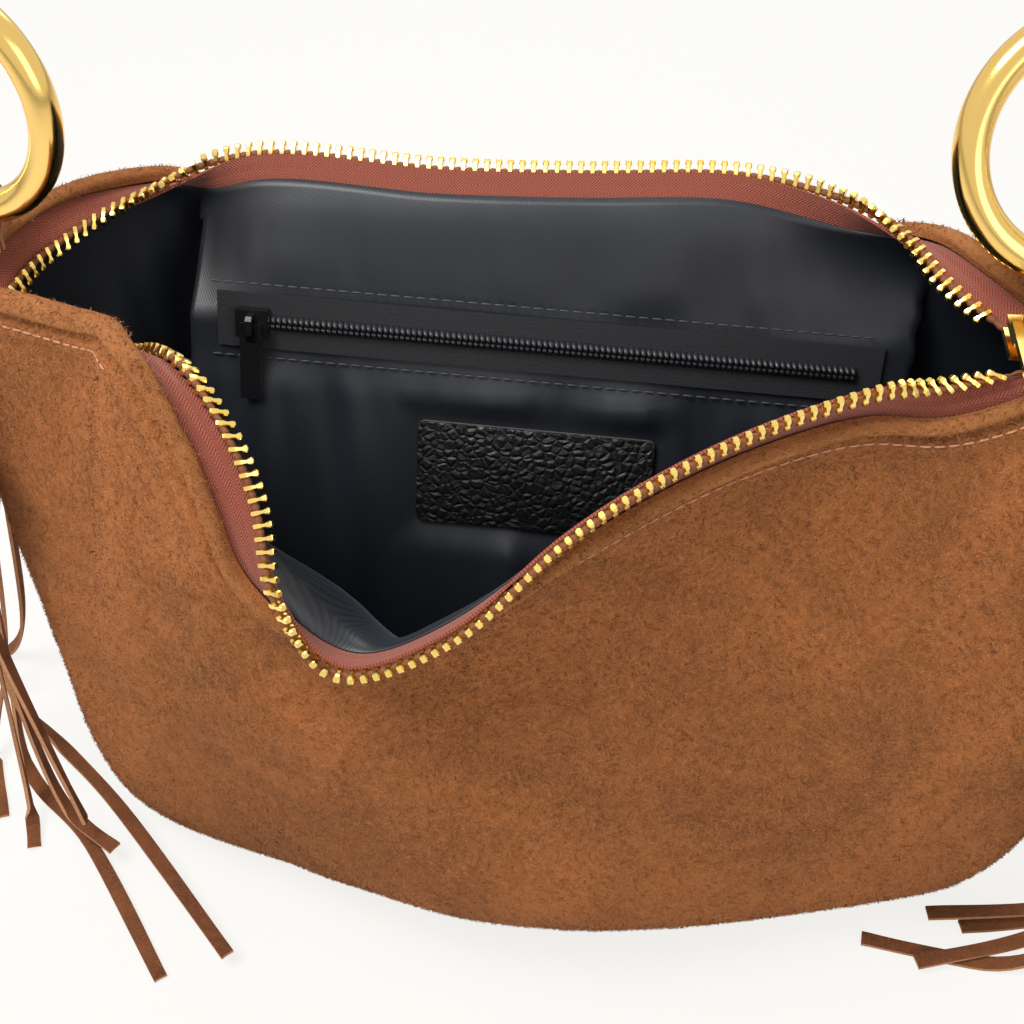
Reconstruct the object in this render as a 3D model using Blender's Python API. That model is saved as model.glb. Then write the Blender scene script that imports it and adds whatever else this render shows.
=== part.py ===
"""Fringed suede bag with an open metal zip, ring fittings and an inner zip pocket.

Metres, +Z up. The bag stands on its base, whose middle is the origin. +X runs along the zip
towards its slider, and -Y is the front, whose rim sags open.
"""

import math
from typing import NamedTuple

import bmesh
import bpy
from mathutils import Matrix, Vector

MM = 0.001

# Bag body
MOUTH_WIDTH = 249.8 * MM
MOUTH_SHIFT = -7.9 * MM
RIM_HEIGHT = 198.0 * MM
BASE_WIDTH = 236.7 * MM
BASE_DEPTH = 51.4 * MM
BASE_ROUNDNESS = 1.9
BASE_TURN = -1.0
PANEL_LIFT = 40.8 * MM
SUEDE = 1.6 * MM
PANEL_GAP = 0.35 * MM
HEM_WIDTH = 8.0 * MM
HEM_STEP = 0.9 * MM
HEM_SLOPE = 1.0 * MM
ROLL_WIDTH = 3.2 * MM
ROLL_STEP = 1.5 * MM
FOLD_DEPTH = 1.4 * MM
FOLD_COUNT = 9

# Main zip
TAPE_SHOWN = 9.5 * MM
TAPE_STEPS = 6
TAPE = 0.7 * MM
TAPE_INSET = 0.6 * MM
TOOTH_PITCH = 3.0 * MM
TOOTH_WIDTH = 1.2 * MM
TOOTH_THICKNESS = 2.6 * MM
TOOTH_REACH = 2.3 * MM
CORD_THICKNESS = 1.5 * MM
CORD_REACH = 0.2 * MM
CHAIN_FOOT = 2.0 * MM
CHAIN_GAP = 0.8 * MM
CHAIN_START = 6.0 * MM
CHAIN_END = 9.0 * MM

# Lining and inner pocket
LINING = 0.8 * MM
LINING_INSET = 1.4 * MM
LINING_FOLD = 1.3 * MM
LINING_FOLDS = 13
LINING_FLOOR = 6.0 * MM
LINING_LOW = 2.4 * MM
POCKET_TILT = 18.0
POCKET_SLOPE = 1.5
POCKET_FORWARD = 37.5 * MM
POCKET_HEIGHT = 165.6 * MM
POCKET_X = 2.0 * MM
POCKET_LENGTH = 174.0 * MM
POCKET_WINDOW = 15.0 * MM
POCKET_TAPE = 0.8 * MM
COIL_LENGTH = 163.0 * MM
COIL_WIDTH = 4.2 * MM
COIL_RISE = 1.5 * MM
POUCH_LENGTH = 120.0 * MM
POUCH_DEPTH = 50.0 * MM
POUCH = 0.9 * MM
LABEL_WIDTH = 64.0 * MM
LABEL_HEIGHT = 30.0 * MM
LABEL = 1.4 * MM
LABEL_X = -0.5 * MM
LABEL_DROP = 24.0 * MM
SEAT_GAP = 0.3 * MM

# Rings and their tabs
RING_RADIUS = 27.0 * MM
RING_TUBE = 4.0 * MM
TAB_WIDTH = 13.0 * MM
TAB_CLEARANCE = 0.4 * MM
TAB_NECK = 2.5 * MM
LEFT_RING_RISE = 11.0 * MM
RIGHT_RING_RISE = 17.7 * MM

# Fringe
STRIP_WIDTH = 4.2 * MM
STRIP = 1.1 * MM
STRIP_STEPS = 12
HEADER_HEIGHT = 13.0 * MM
HEADER = 3.0 * MM
HEADER_LENGTH = 62.0 * MM
HEADER_DEPTH = 45.0 * MM
HEADER_STAND = 0.45 * MM
HEADER_GAP = 0.5 * MM
STRIP_START = 28.0 * MM
STRIP_FLOOR = 0.35 * MM

# Sliders and their pulls: length, width, plate, channel, bail and pull sizes
BAIL_WIRE = 1.0 * MM
BAIL_OPEN = 1.9 * MM
BAIL_RISE = 2.5 * MM
BAIL_WIDTH = 1.6 * MM
PULL_PLAY = 0.35 * MM
CROSSBAR = 1.1 * MM
SLIDER_LENGTH = 9.0 * MM
SLIDER_WIDTH = 7.0 * MM
SLIDER_HEIGHT = 5.4 * MM
SLIDER_GROOVE = 2.4 * MM
SLIDER_POST = 3.0 * MM
SLIDER_INWARD = 5.6 * MM
SLIDER_BACKWARD = 4.0 * MM
SLIDER_AZIMUTH = -86.0
SLIDER_DIP = 6.0
PULL_LENGTH = 27.0 * MM
PULL_WIDTH = 7.4 * MM
PULL = 1.6 * MM
SLIDER_LIFT = 5.0 * MM
POCKET_SLIDER_LENGTH = 8.6 * MM
POCKET_SLIDER_WIDTH = 7.6 * MM
POCKET_SLIDER_PLATE = 0.9 * MM
POCKET_PULL_LENGTH = 21.0 * MM
POCKET_PULL_WIDTH = 5.6 * MM

# Grid of the soft parts
FRONT_COLUMNS = 38
BACK_COLUMNS = 28
BODY_ROWS = 8
COLUMN_SAMPLES = 48


class RimKey(NamedTuple):
    """A point of the zip's chain, the way its tape points there, and the fullness below."""

    share: float
    y: float
    rise: float
    azimuth: float
    elevation: float
    reach: float
    push: float


LEFT_END = RimKey(-1.00, 12, -14.4, 0, -40, 14, 22)
RIGHT_END = RimKey(1.00, -1, 0, 180, -10, 26, 72)
FRONT_RIM = [
    LEFT_END,
    RimKey(-0.864, 7, -14, 50, -70, 10, 35.5),
    RimKey(-0.70, -3, -12, 55, -72, 11, 34),
    RimKey(-0.564, -16, -2, 30, -35, 18, 31),
    RimKey(-0.448, -29, -9.3, 14, -10, 19, 30),
    RimKey(-0.38, -39, -22.6, 12, 12, 19, 34),
    RimKey(-0.327, -54, -39.4, -40, 20, 19, 46.5),
    RimKey(-0.216, -61, -52.8, -90, 27, 28, 63),
    RimKey(-0.013, -58, -40.5, -80, 34, 43, 69.5),
    RimKey(0.171, -46, -20, -90, 58, 53, 60),
    RimKey(0.326, -35, -10, -90, 65, 53, 52),
    RimKey(0.50, -25, -2.3, -90, 68, 48, 47),
    RimKey(0.689, -16, 2.7, -90, 76, 38, 53),
    RimKey(0.80, -9, -0.6, 170, 50, 28, 61),
    RIGHT_END,
]
BACK_RIM = [
    LEFT_END,
    RimKey(-0.942, 33, -10.3, -45, -58, 14, 24),
    RimKey(-0.763, 54, -4, -90, 8, 22, 22),
    RimKey(-0.545, 62.5, 5.7, 90, 60, 24, 24),
    RimKey(-0.158, 59.5, 6.1, 90, 48, 24, 25),
    RimKey(0.137, 59.5, 7.2, 90, 48, 24, 28),
    RimKey(0.442, 59.5, 9.3, 90, 52, 24, 34),
    RimKey(0.645, 52, 8, -90, 84, 24, 44),
    RimKey(0.757, 37, 7, -130, 20, 20, 54),
    RimKey(0.839, 20, 4.2, -145, -20, 20, 64),
    RIGHT_END,
]


class RingPlace(NamedTuple):
    """Where a ring's lowest point sits, and how its plane turns and leans, in degrees."""

    x: float
    y: float
    z: float
    turn: float
    lean: float


RING_LEFT = RingPlace(-137.0 * MM, 22.0 * MM, RIM_HEIGHT + LEFT_RING_RISE, -14.0, 4.0)
RING_RIGHT = RingPlace(121.4 * MM, 11.6 * MM, RIM_HEIGHT + RIGHT_RING_RISE, 4.0, 20.0)


# Each strip's way down from its header to the ground and along it, in millimetres
LEFT_ROUTES = [
    [(-163, 50, 90), (-170, 62, 30), (-176, 72, 1.2), (-184, 92, 1.2)],
    [(-164, 44, 90), (-174, 48, 30), (-186, 52, 4.5), (-200, 56, 1.2)],
    [(-164, 36, 90), (-178, 38, 40), (-190, 28, 5), (-196, 4, 1.2)],
    [(-162, 28, 90), (-169, 24, 40), (-176, 10, 5), (-166, -14, 1.2)],
    [(-161, 20, 90), (-164, 14, 40), (-160, 0, 7), (-134, -22, 2.9), (-100, -64, 1.2)],
    [(-160, 13, 90), (-160, 6, 40), (-152, 8, 14), (-126, -12, 8), (-81, -57, 6)],
    [(-157, 5, 90), (-158, -3, 40), (-156, -12, 8), (-152, -24, 1.2)],
    [(-154, -2, 90), (-149, -9, 40), (-141, -16, 12), (-124, -26, 8)],
    [(-150, -8, 90), (-140, -17, 45), (-133, -22, 16)],
]
RIGHT_ROUTES = [
    [(176, -24, 80), (172, -30, 30), (148, -34, 2.9), (106, -29, 1.2)],
    [(178, -17, 80), (176, -22, 30), (156, -26, 6), (121, -37, 4)],
    [(179, -10, 80), (180, -14, 30), (166, -16, 9), (125, -22, 7)],
    [(180, -3, 80), (182, -6, 30), (172, -14, 3), (136, -22, 1.2)],
    [(182, 4, 80), (186, 4, 34), (190, -7, 5), (178, -42, 1.2)],
    [(182, 11, 80), (188, 10, 30), (198, 2, 1.2), (192, -30, 1.2)],
    [(182, 18, 80), (190, 20, 30), (208, 16, 1.2), (208, -18, 1.2)],
    [(182, 25, 80), (190, 32, 30), (204, 38, 1.2), (222, 42, 1.2)],
]


def clear_scene() -> None:
    """Remove every object that the scene starts with."""
    for thing in list(bpy.data.objects):
        bpy.data.objects.remove(thing, do_unlink=True)


def finish(name: str, colour: tuple, roughness: float, metallic: float = 0.0) -> bpy.types.Material:
    """Make a plain Principled material."""
    material = bpy.data.materials.new(name)
    material.use_nodes = True
    shader = material.node_tree.nodes["Principled BSDF"]
    shader.inputs["Base Color"].default_value = (*colour, 1.0)
    shader.inputs["Roughness"].default_value = roughness
    shader.inputs["Metallic"].default_value = metallic
    return material


def add_object(name: str, points: list, faces: list, material, smooth: float = 35.0):
    """Make one object from points and faces, with its faces turned outwards."""
    mesh = bpy.data.meshes.new(name)
    mesh.from_pydata([tuple(point) for point in points], [], faces)
    work = bmesh.new()
    work.from_mesh(mesh)
    bmesh.ops.recalc_face_normals(work, faces=work.faces)
    if work.calc_volume(signed=True) < 0.0:
        bmesh.ops.reverse_faces(work, faces=work.faces)
    work.to_mesh(mesh)
    work.free()
    mesh.shade_smooth()
    mesh.set_sharp_from_angle(angle=math.radians(smooth))
    thing = bpy.data.objects.new(name, mesh)
    bpy.context.scene.collection.objects.link(thing)
    mesh.materials.append(material)
    return thing


def blend(values: list, place: float):
    """Read a smooth curve through evenly numbered values at a place between them."""
    last = len(values) - 1
    index = min(int(place), last - 1)
    part = place - index
    before = values[max(index - 1, 0)]
    start = values[index]
    end = values[index + 1]
    after = values[min(index + 2, last)]
    square = part * part
    cube = square * part
    return 0.5 * (
        2 * start
        + (end - before) * part
        + (2 * before - 5 * start + 4 * end - after) * square
        + (3 * start - before - 3 * end + after) * cube
    )


class Side:
    """One half of the bag's wall: its rim, the way the tape points and the fullness below."""

    def __init__(self, keys: list, start_angle: float, sweep: float) -> None:
        """Read the keys as smooth guides and measure the rim."""
        half = MOUTH_WIDTH / 2
        self.points = [Vector((MOUTH_SHIFT + k.share * half, k.y * MM, RIM_HEIGHT + k.rise * MM)) for k in keys]
        self.tapes = [direction(k.azimuth, k.elevation) for k in keys]
        self.reaches = [k.reach * MM for k in keys]
        self.pushes = [k.push * MM for k in keys]
        self.start_angle = start_angle
        self.sweep = sweep
        steps = 240
        self.places = [i * (len(keys) - 1) / steps for i in range(steps + 1)]
        self.lengths = [0.0]
        for here, there in zip(self.places, self.places[1:]):
            piece = blend(self.points, there) - blend(self.points, here)
            self.lengths.append(self.lengths[-1] + piece.length)
        self.length = self.lengths[-1]

    def place_at(self, distance: float) -> float:
        """Give the key place at a distance along the rim from the left end."""
        distance = min(max(distance, 0.0), self.length)
        for i in range(1, len(self.lengths)):
            if self.lengths[i] >= distance:
                span = self.lengths[i] - self.lengths[i - 1]
                part = (distance - self.lengths[i - 1]) / span
                return self.places[i - 1] + part * (self.places[i] - self.places[i - 1])
        return self.places[-1]

    def rim(self, distance: float) -> Vector:
        """Give the chain's point at a distance along the rim."""
        return blend(self.points, self.place_at(distance))

    def tape(self, distance: float) -> Vector:
        """Give the unit way from the suede edge to the chain at a distance along the rim."""
        return blend(self.tapes, self.place_at(distance)).normalized()

    def column(self, distance: float) -> list:
        """Give points down the wall, from the chain to the base edge."""
        place = self.place_at(distance)
        angle = self.start_angle + self.sweep * distance / self.length
        foot, outward = base_edge(angle)
        foot.z = SUEDE + PANEL_GAP
        top = blend(self.points, place)
        belly = foot + outward * blend(self.pushes, place) + Vector((0, 0, PANEL_LIFT))
        away = -self.tape(distance)
        edge = top + away * TAPE_SHOWN
        shoulder = edge + away * blend(self.reaches, place)
        wave = FOLD_DEPTH * math.sin(FOLD_COUNT * angle)
        line = [top.lerp(edge, i / TAPE_STEPS) for i in range(TAPE_STEPS)]
        for i in range(COLUMN_SAMPLES + 1):
            t = i / COLUMN_SAMPLES
            point = bezier(edge, shoulder, belly, foot, t)
            line.append(point + outward * wave * (4 * t * (1 - t)) ** 2)
        return line


def direction(azimuth: float, elevation: float) -> Vector:
    """Give a unit vector from two angles in degrees."""
    turn = math.radians(azimuth)
    rise = math.radians(elevation)
    return Vector((math.cos(turn) * math.cos(rise), math.sin(turn) * math.cos(rise), math.sin(rise)))


def bezier(a: Vector, b: Vector, c: Vector, d: Vector, t: float) -> Vector:
    """Read a cubic curve."""
    s = 1 - t
    return a * s**3 + b * 3 * s * s * t + c * 3 * s * t * t + d * t**3


def base_edge(angle: float) -> tuple:
    """Give a point on the base outline and the outward way there."""
    power = 2 / BASE_ROUNDNESS
    cosine = math.cos(angle)
    sine = math.sin(angle)
    x = BASE_WIDTH / 2 * math.copysign(abs(cosine) ** power, cosine)
    y = BASE_DEPTH / 2 * math.copysign(abs(sine) ** power, sine)
    outward = Vector((cosine * BASE_DEPTH, sine * BASE_WIDTH, 0)).normalized()
    turn = Matrix.Rotation(math.radians(BASE_TURN), 3, "Z")
    return turn @ Vector((x, y, 0)), turn @ outward


class Wall:
    """The middle surface of the bag's wall, from which each soft layer is set off."""

    def __init__(self) -> None:
        """Make the columns round the bag, front from left to right and then back again."""
        self.front = Side(FRONT_RIM, math.pi, math.pi)
        self.back = Side(BACK_RIM, math.pi, -math.pi)
        self.columns = []
        for i in range(FRONT_COLUMNS):
            self.columns.append(self.front.column(self.front.length * i / FRONT_COLUMNS))
        for i in range(BACK_COLUMNS):
            self.columns.append(self.back.column(self.back.length * (1 - i / BACK_COLUMNS)))
        self.runs = [self.measure(column) for column in self.columns]

    @staticmethod
    def measure(column: list) -> list:
        """Give the distance of each point of a column from the chain."""
        run = [0.0]
        for here, there in zip(column, column[1:]):
            run.append(run[-1] + (there - here).length)
        return run

    def point(self, index: int, depth: float) -> Vector:
        """Give the wall's point at a depth below the chain."""
        column = self.columns[index % len(self.columns)]
        run = self.runs[index % len(self.columns)]
        depth = min(max(depth, 0.0), run[-1])
        for i in range(1, len(run)):
            if run[i] >= depth:
                part = (depth - run[i - 1]) / (run[i] - run[i - 1])
                return column[i - 1].lerp(column[i], part)
        return column[-1]

    def depth(self, index: int, top: float, share: float) -> float:
        """Give the depth at a share of the way from a top depth to the base edge."""
        return top + share * (self.runs[index % len(self.columns)][-1] - top)

    def normal(self, index: int, top: float, share: float) -> Vector:
        """Give the outward way at a place on the wall."""
        nudge = 0.02
        low = min(share + nudge, 1.0)
        high = max(share - nudge, 0.0)
        down = self.point(index, self.depth(index, top, low)) - self.point(index, self.depth(index, top, high))
        ahead = self.point(index + 1, self.depth(index + 1, top, share))
        behind = self.point(index - 1, self.depth(index - 1, top, share))
        return down.cross(ahead - behind).normalized()

    def spot(self, index: int, top: float, share: float, offset: float) -> Vector:
        """Give a point set off from the wall."""
        base = self.point(index, self.depth(index, top, share))
        return base + self.normal(index, top, share) * offset


def shell(outer: list, inner: list, looped: bool) -> tuple:
    """Join two grids of rows into one closed skin, open at neither edge."""
    rows = len(outer)
    count = len(outer[0])
    points = [p for row in outer for p in row] + [p for row in inner for p in row]
    shift = rows * count
    faces = []
    spans = count if looped else count - 1
    for r in range(rows - 1):
        for c in range(spans):
            n = (c + 1) % count
            quad = (r * count + c, r * count + n, (r + 1) * count + n, (r + 1) * count + c)
            for half in ((quad[0], quad[1], quad[2]), (quad[0], quad[2], quad[3])):
                faces.append(half)
                faces.append(tuple(shift + i for i in reversed(half)))
    for c in range(spans):
        n = (c + 1) % count
        for row in (0, rows - 1):
            faces.append((row * count + c, row * count + n, shift + row * count + n, shift + row * count + c))
    if not looped:
        for r in range(rows - 1):
            for c in (0, count - 1):
                a = r * count + c
                b = a + count
                faces.append((a, b, shift + b, shift + a))
    return points, faces


def pull_in(row: list, gap: float) -> list:
    """Shorten a row of points by a gap at each end, so that neighbours don't touch."""
    row[0] = row[0] + (row[1] - row[0]).normalized() * gap
    row[-1] = row[-1] + (row[-2] - row[-1]).normalized() * gap
    return row


def body_spots(wall: Wall, columns, offset) -> list:
    """Give the rows that all layers share, below the hem, each set off from the wall."""
    start = TAPE_SHOWN + HEM_WIDTH + HEM_SLOPE
    return [[wall.spot(i, start, r / BODY_ROWS, offset) for i in columns] for r in range(1, BODY_ROWS + 1)]


def suede_rows() -> list:
    """Give the depths and thicknesses down a suede panel, with its rolled edge and hem."""
    roll = SUEDE + ROLL_STEP
    hem = SUEDE + HEM_STEP
    return [
        (0.0, 0.55 * roll),
        (0.25 * ROLL_WIDTH, roll),
        (0.75 * ROLL_WIDTH, roll),
        (ROLL_WIDTH, hem),
        (HEM_WIDTH, hem),
        (HEM_WIDTH + HEM_SLOPE, SUEDE),
    ]


def suede_panel(wall: Wall, name: str, first: int, last: int, material):
    """Make a suede panel with a rolled and hemmed rim, over part of the wall's columns."""
    outer = []
    inner = []
    columns = range(first, last + 1)
    edge = TAPE_SHOWN
    bands = suede_rows()
    for drop, thick in bands:
        outer.append([place(wall, i, edge + drop, thick) for i in columns])
        inner.append([place(wall, i, edge + drop, 0.0) for i in columns])
    outer += body_spots(wall, columns, SUEDE)
    inner += body_spots(wall, columns, 0.0)
    outer = [pull_in(row, PANEL_GAP / 2) for row in outer]
    inner = [pull_in(row, PANEL_GAP / 2) for row in inner]
    points, faces = shell(outer, inner, False)
    return add_object(name, points, faces, material, 50)


def place(wall: Wall, index: int, depth: float, offset: float) -> Vector:
    """Give a point at an exact depth below the chain, set off from the wall."""
    run = wall.runs[index % len(wall.columns)][-1]
    share = depth / run
    return wall.spot(index, 0.0, share, offset)


def suede_base(material):
    """Make the flat suede base that the bag stands on, inside the panels' lower edges."""
    count = 48
    outline = []
    for i in range(count):
        point, outward = base_edge(2 * math.pi * i / count)
        outline.append(point - outward * PANEL_GAP)
    low = [[p.copy() for p in outline]]
    high = [[p + Vector((0, 0, SUEDE)) for p in outline]]
    points = low[0] + high[0]
    faces = [tuple(range(count)), tuple(range(2 * count - 1, count - 1, -1))]
    faces += [(i, (i + 1) % count, count + (i + 1) % count, count + i) for i in range(count)]
    return add_object("suede_base", points, faces, material, 50)


def zip_tape(wall: Wall, name: str, first: int, last: int, material):
    """Make one zip tape, from under the chain to its sewn edge between suede and lining."""
    depths = [CHAIN_FOOT + CHAIN_GAP, TAPE_SHOWN, TAPE_SHOWN + ROLL_WIDTH]
    columns = range(first, last + 1)
    outer = [[place(wall, i, d, -TAPE_INSET) for i in columns] for d in depths]
    inner = [[place(wall, i, d, -TAPE_INSET - TAPE) for i in columns] for d in depths]
    outer = [pull_in(row, PANEL_GAP) for row in outer]
    inner = [pull_in(row, PANEL_GAP) for row in inner]
    points, faces = shell(outer, inner, False)
    return add_object(name, points, faces, material, 50)


def pocket_frame() -> tuple:
    """Give the pocket's centre, its way along the zip, its way down and its way to the front."""
    tilt = math.radians(POCKET_TILT)
    centre = Vector((POCKET_X, POCKET_FORWARD, POCKET_HEIGHT))
    slope = math.radians(POCKET_SLOPE)
    upright = Vector((0, -math.sin(tilt), -math.cos(tilt)))
    along = Vector((1, 0, 0)) * math.cos(slope) + upright * math.sin(slope)
    down = upright * math.cos(slope) - Vector((1, 0, 0)) * math.sin(slope)
    front = down.cross(along)
    return centre, along, down, front


def flatten(point: Vector, behind: float, share: float) -> Vector:
    """Keep a lining point on the front side of the pocket's plane, fully so from the pocket down."""
    centre, _, _, front = pocket_frame()
    past = -(point - centre).dot(front) - behind
    if past <= 0.0:
        return point
    return point + front * past * min(share, 1.0)


def lining(wall: Wall, material):
    """Make the lining, a soft cup inside the suede with upright folds."""
    count = FRONT_COLUMNS + BACK_COLUMNS
    loop = range(count)
    start = TAPE_SHOWN + HEM_WIDTH + HEM_SLOPE
    edges = [TAPE_SHOWN + ROLL_WIDTH + LINING_LOW, start]
    outer = [[place(wall, i, d, -LINING_INSET) for i in loop] for d in edges]
    inner = [[place(wall, i, d, -LINING_INSET - LINING) for i in loop] for d in edges]
    outer += body_spots(wall, loop, -LINING_INSET)[:-1]
    inner += body_spots(wall, loop, -LINING_INSET - LINING)[:-1]
    last = len(outer) - 1
    for r in range(last + 1):
        for i in loop:
            angle = 2 * math.pi * i / count
            at_pocket = FRONT_COLUMNS < i and abs(outer[r][i].x - POCKET_X) < POCKET_LENGTH / 2 + HEM_WIDTH
            fold = LINING_FOLD * (1 + math.cos(LINING_FOLDS * angle)) / 2
            fold *= 0.0 if at_pocket else math.sin(math.pi * r / last) ** 2
            shift = (inner[r][i] - outer[r][i]).normalized() * fold
            outer[r][i] = outer[r][i] + shift
            inner[r][i] = inner[r][i] + shift
            if at_pocket:
                outer[r][i] = flatten(outer[r][i], LINING, r)
                inner[r][i] = flatten(inner[r][i], 0.0, r)
    points, faces = shell(outer, inner, True)
    faces = [f for f in faces if not is_foot(f, count, last)]
    half = len(points) // 2
    low = last * count
    floor = Vector((0, 0, LINING_FLOOR))
    points.append(floor)
    points.append(floor + Vector((0, 0, LINING)))
    for i in loop:
        n = (i + 1) % count
        faces.append((low + i, low + n, 2 * half))
        faces.append((half + low + n, half + low + i, 2 * half + 1))
    return add_object("lining", points, faces, material, 60)


def is_foot(face: tuple, count: int, rows: int) -> bool:
    """Tell whether a face bridges the two skins along the lowest row."""
    low = rows * count
    half = (rows + 1) * count
    return all(low <= i < low + count or half + low <= i < half + low + count for i in face)


def comb(wall: Wall, side: Side, name: str, outward: float, end: float, material):
    """Make half the zip's chain: metal teeth standing on a cord, as one comb."""
    count = int((side.length - CHAIN_START - end) / TOOTH_PITCH)
    rings = []
    for i in range(count):
        start = CHAIN_START + i * TOOTH_PITCH
        gap = (TOOTH_PITCH - TOOTH_WIDTH) / 2
        rings.append(chain_ring(side, start, CORD_REACH, CORD_THICKNESS, outward))
        rings.append(chain_ring(side, start + gap, TOOTH_REACH, TOOTH_THICKNESS, outward))
        rings.append(chain_ring(side, start + gap + TOOTH_WIDTH, TOOTH_REACH, TOOTH_THICKNESS, outward))
    points, faces = loft(rings)
    return add_object(name, points, faces, material, 25)


def chain_ring(side: Side, distance: float, reach: float, thickness: float, outward: float) -> list:
    """Give the four corners of the chain's section at a distance along the rim."""
    centre = side.rim(distance)
    tape = side.tape(distance)
    ahead = side.rim(distance + 1.0 * MM) - side.rim(distance - 1.0 * MM)
    across = (ahead.cross(tape) * outward).normalized()
    centre = centre - across * (TAPE_INSET + TAPE / 2)
    half = across * thickness / 2
    foot = centre - tape * CHAIN_FOOT
    head = centre + tape * reach
    return [foot - half, foot + half, head + half, head - half]


def loft(rings: list) -> tuple:
    """Join rings of points into one closed skin with flat ends."""
    sides = len(rings[0])
    points = [p for ring in rings for p in ring]
    faces = [tuple(range(sides))]
    for r in range(len(rings) - 1):
        for c in range(sides):
            n = (c + 1) % sides
            faces.append((r * sides + c, r * sides + n, (r + 1) * sides + n, (r + 1) * sides + c))
    last = (len(rings) - 1) * sides
    faces.append(tuple(range(last + sides - 1, last - 1, -1)))
    return points, faces


def frame_matrix(origin: Vector, x_way: Vector, z_way: Vector) -> Matrix:
    """Make a placing matrix from an origin and two ways."""
    x_axis = x_way.normalized()
    z_axis = (z_way - x_axis * z_way.dot(x_axis)).normalized()
    y_axis = z_axis.cross(x_axis)
    matrix = Matrix((x_axis, y_axis, z_axis)).transposed().to_4x4()
    matrix.translation = origin
    return matrix


def block(name: str, size: tuple, matrix: Matrix, material, bevel: float = 0.0):
    """Make a box of a size about a frame's origin, with bevelled edges."""
    mesh = bpy.data.meshes.new(name)
    work = bmesh.new()
    bmesh.ops.create_cube(work, size=1.0)
    bmesh.ops.scale(work, vec=size, verts=work.verts)
    if bevel > 0.0:
        bmesh.ops.bevel(work, geom=list(work.edges), offset=bevel, segments=1, affect="EDGES")
    work.to_mesh(mesh)
    work.free()
    mesh.materials.append(material)
    thing = bpy.data.objects.new(name, mesh)
    thing.matrix_world = matrix
    bpy.context.scene.collection.objects.link(thing)
    return thing


def torus(name: str, place_at: RingPlace, material):
    """Make a ring standing on its lowest point."""
    major = 36
    minor = 9
    points = []
    faces = []
    for i in range(major):
        around = 2 * math.pi * i / major
        for j in range(minor):
            about = 2 * math.pi * j / minor
            reach = RING_RADIUS + RING_TUBE * math.cos(about)
            points.append(Vector((reach * math.sin(around), RING_TUBE * math.sin(about), RING_RADIUS - reach * math.cos(around))))
            n = (i + 1) % major
            m = (j + 1) % minor
            faces.append((i * minor + j, i * minor + m, n * minor + m, n * minor + j))
    thing = add_object(name, points, faces, material, 60)
    thing.matrix_world = ring_matrix(place_at)
    return thing


def ring_matrix(place_at: RingPlace) -> Matrix:
    """Give the placing of a ring: its joint line is X at its lowest point."""
    turn = Matrix.Rotation(math.radians(place_at.turn), 4, "Z")
    lean = Matrix.Rotation(-math.radians(place_at.lean), 4, "X")
    return Matrix.Translation((place_at.x, place_at.y, place_at.z)) @ turn @ lean


def solid(name: str, outline: list, depth: float, matrix: Matrix, material):
    """Push an outline in X and Z out along Y, half to each side, and place it."""
    count = len(outline)
    points = [Vector((x, -depth / 2, z)) for x, z in outline] + [Vector((x, depth / 2, z)) for x, z in outline]
    faces = [tuple(range(count)), tuple(range(2 * count - 1, count - 1, -1))]
    faces += [(i, (i + 1) % count, count + (i + 1) % count, count + i) for i in range(count)]
    thing = add_object(name, points, faces, material, 30)
    thing.matrix_world = matrix
    return thing


def unite(thing, other) -> None:
    """Fuse another object into a thing and drop it."""
    modifier = thing.modifiers.new("union", "BOOLEAN")
    modifier.operation = "UNION"
    modifier.object = other
    other.hide_render = True
    other.display_type = "WIRE"


def cut(thing, other) -> None:
    """Cut another object out of a thing."""
    modifier = thing.modifiers.new("cut", "BOOLEAN")
    modifier.operation = "DIFFERENCE"
    modifier.object = other
    other.hide_render = True
    other.display_type = "WIRE"


def bail(name: str, top: float, matrix: Matrix, material):
    """Make the arch that a pull hangs in, standing on a slider's top."""
    inner = BAIL_OPEN
    outer = BAIL_OPEN + BAIL_WIRE
    sink = 0.3 * MM
    outline = [
        (-outer, top - sink),
        (-outer, top + BAIL_RISE),
        (-inner, top + BAIL_RISE + BAIL_WIRE),
        (inner, top + BAIL_RISE + BAIL_WIRE),
        (outer, top + BAIL_RISE),
        (outer, top - sink),
        (inner, top - sink),
        (inner, top + BAIL_RISE),
        (-inner, top + BAIL_RISE),
        (-inner, top - sink),
    ]
    return solid(name, outline, BAIL_WIDTH, matrix, material)


def pull(name: str, length: float, width: float, thick: float, window: bool, matrix: Matrix, material):
    """Make a pull: a flat bar whose crossbar, on its own Y axis, lies in the slider's bail."""
    hole = BAIL_WIRE + BAIL_RISE + 2 * PULL_PLAY
    start = CROSSBAR / 2
    thing = block(name, (length, width, thick), matrix @ Matrix.Translation((length / 2 - start, 0, 0)), material)
    slot = (hole, BAIL_WIDTH + 2 * PULL_PLAY, 4 * thick)
    cut(thing, block(name + "_slot", slot, matrix @ Matrix.Translation((start + hole / 2, 0, 0)), material))
    if window:
        rail = 1.5 * MM
        begin = start + hole + rail
        size = (length - begin - rail - start, width - 2 * rail, 4 * thick)
        middle = matrix @ Matrix.Translation((begin + size[0] / 2, 0, 0))
        cut(thing, block(name + "_window", size, middle, material))
    move_origin(thing, matrix.translation)
    return thing


def move_origin(thing, point: Vector) -> None:
    """Move an object's origin to a point, leaving its shape where it is."""
    shift = thing.matrix_world.inverted() @ point
    thing.data.transform(Matrix.Translation(-shift))
    thing.matrix_world = thing.matrix_world @ Matrix.Translation(shift)


def hinge_frame(frame: Matrix, top: float, thick: float) -> Matrix:
    """Give a pull's frame on its crossbar, lying level over the slider."""
    return frame @ Matrix.Translation((0, 0, top + thick / 2 + PULL_PLAY))


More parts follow.
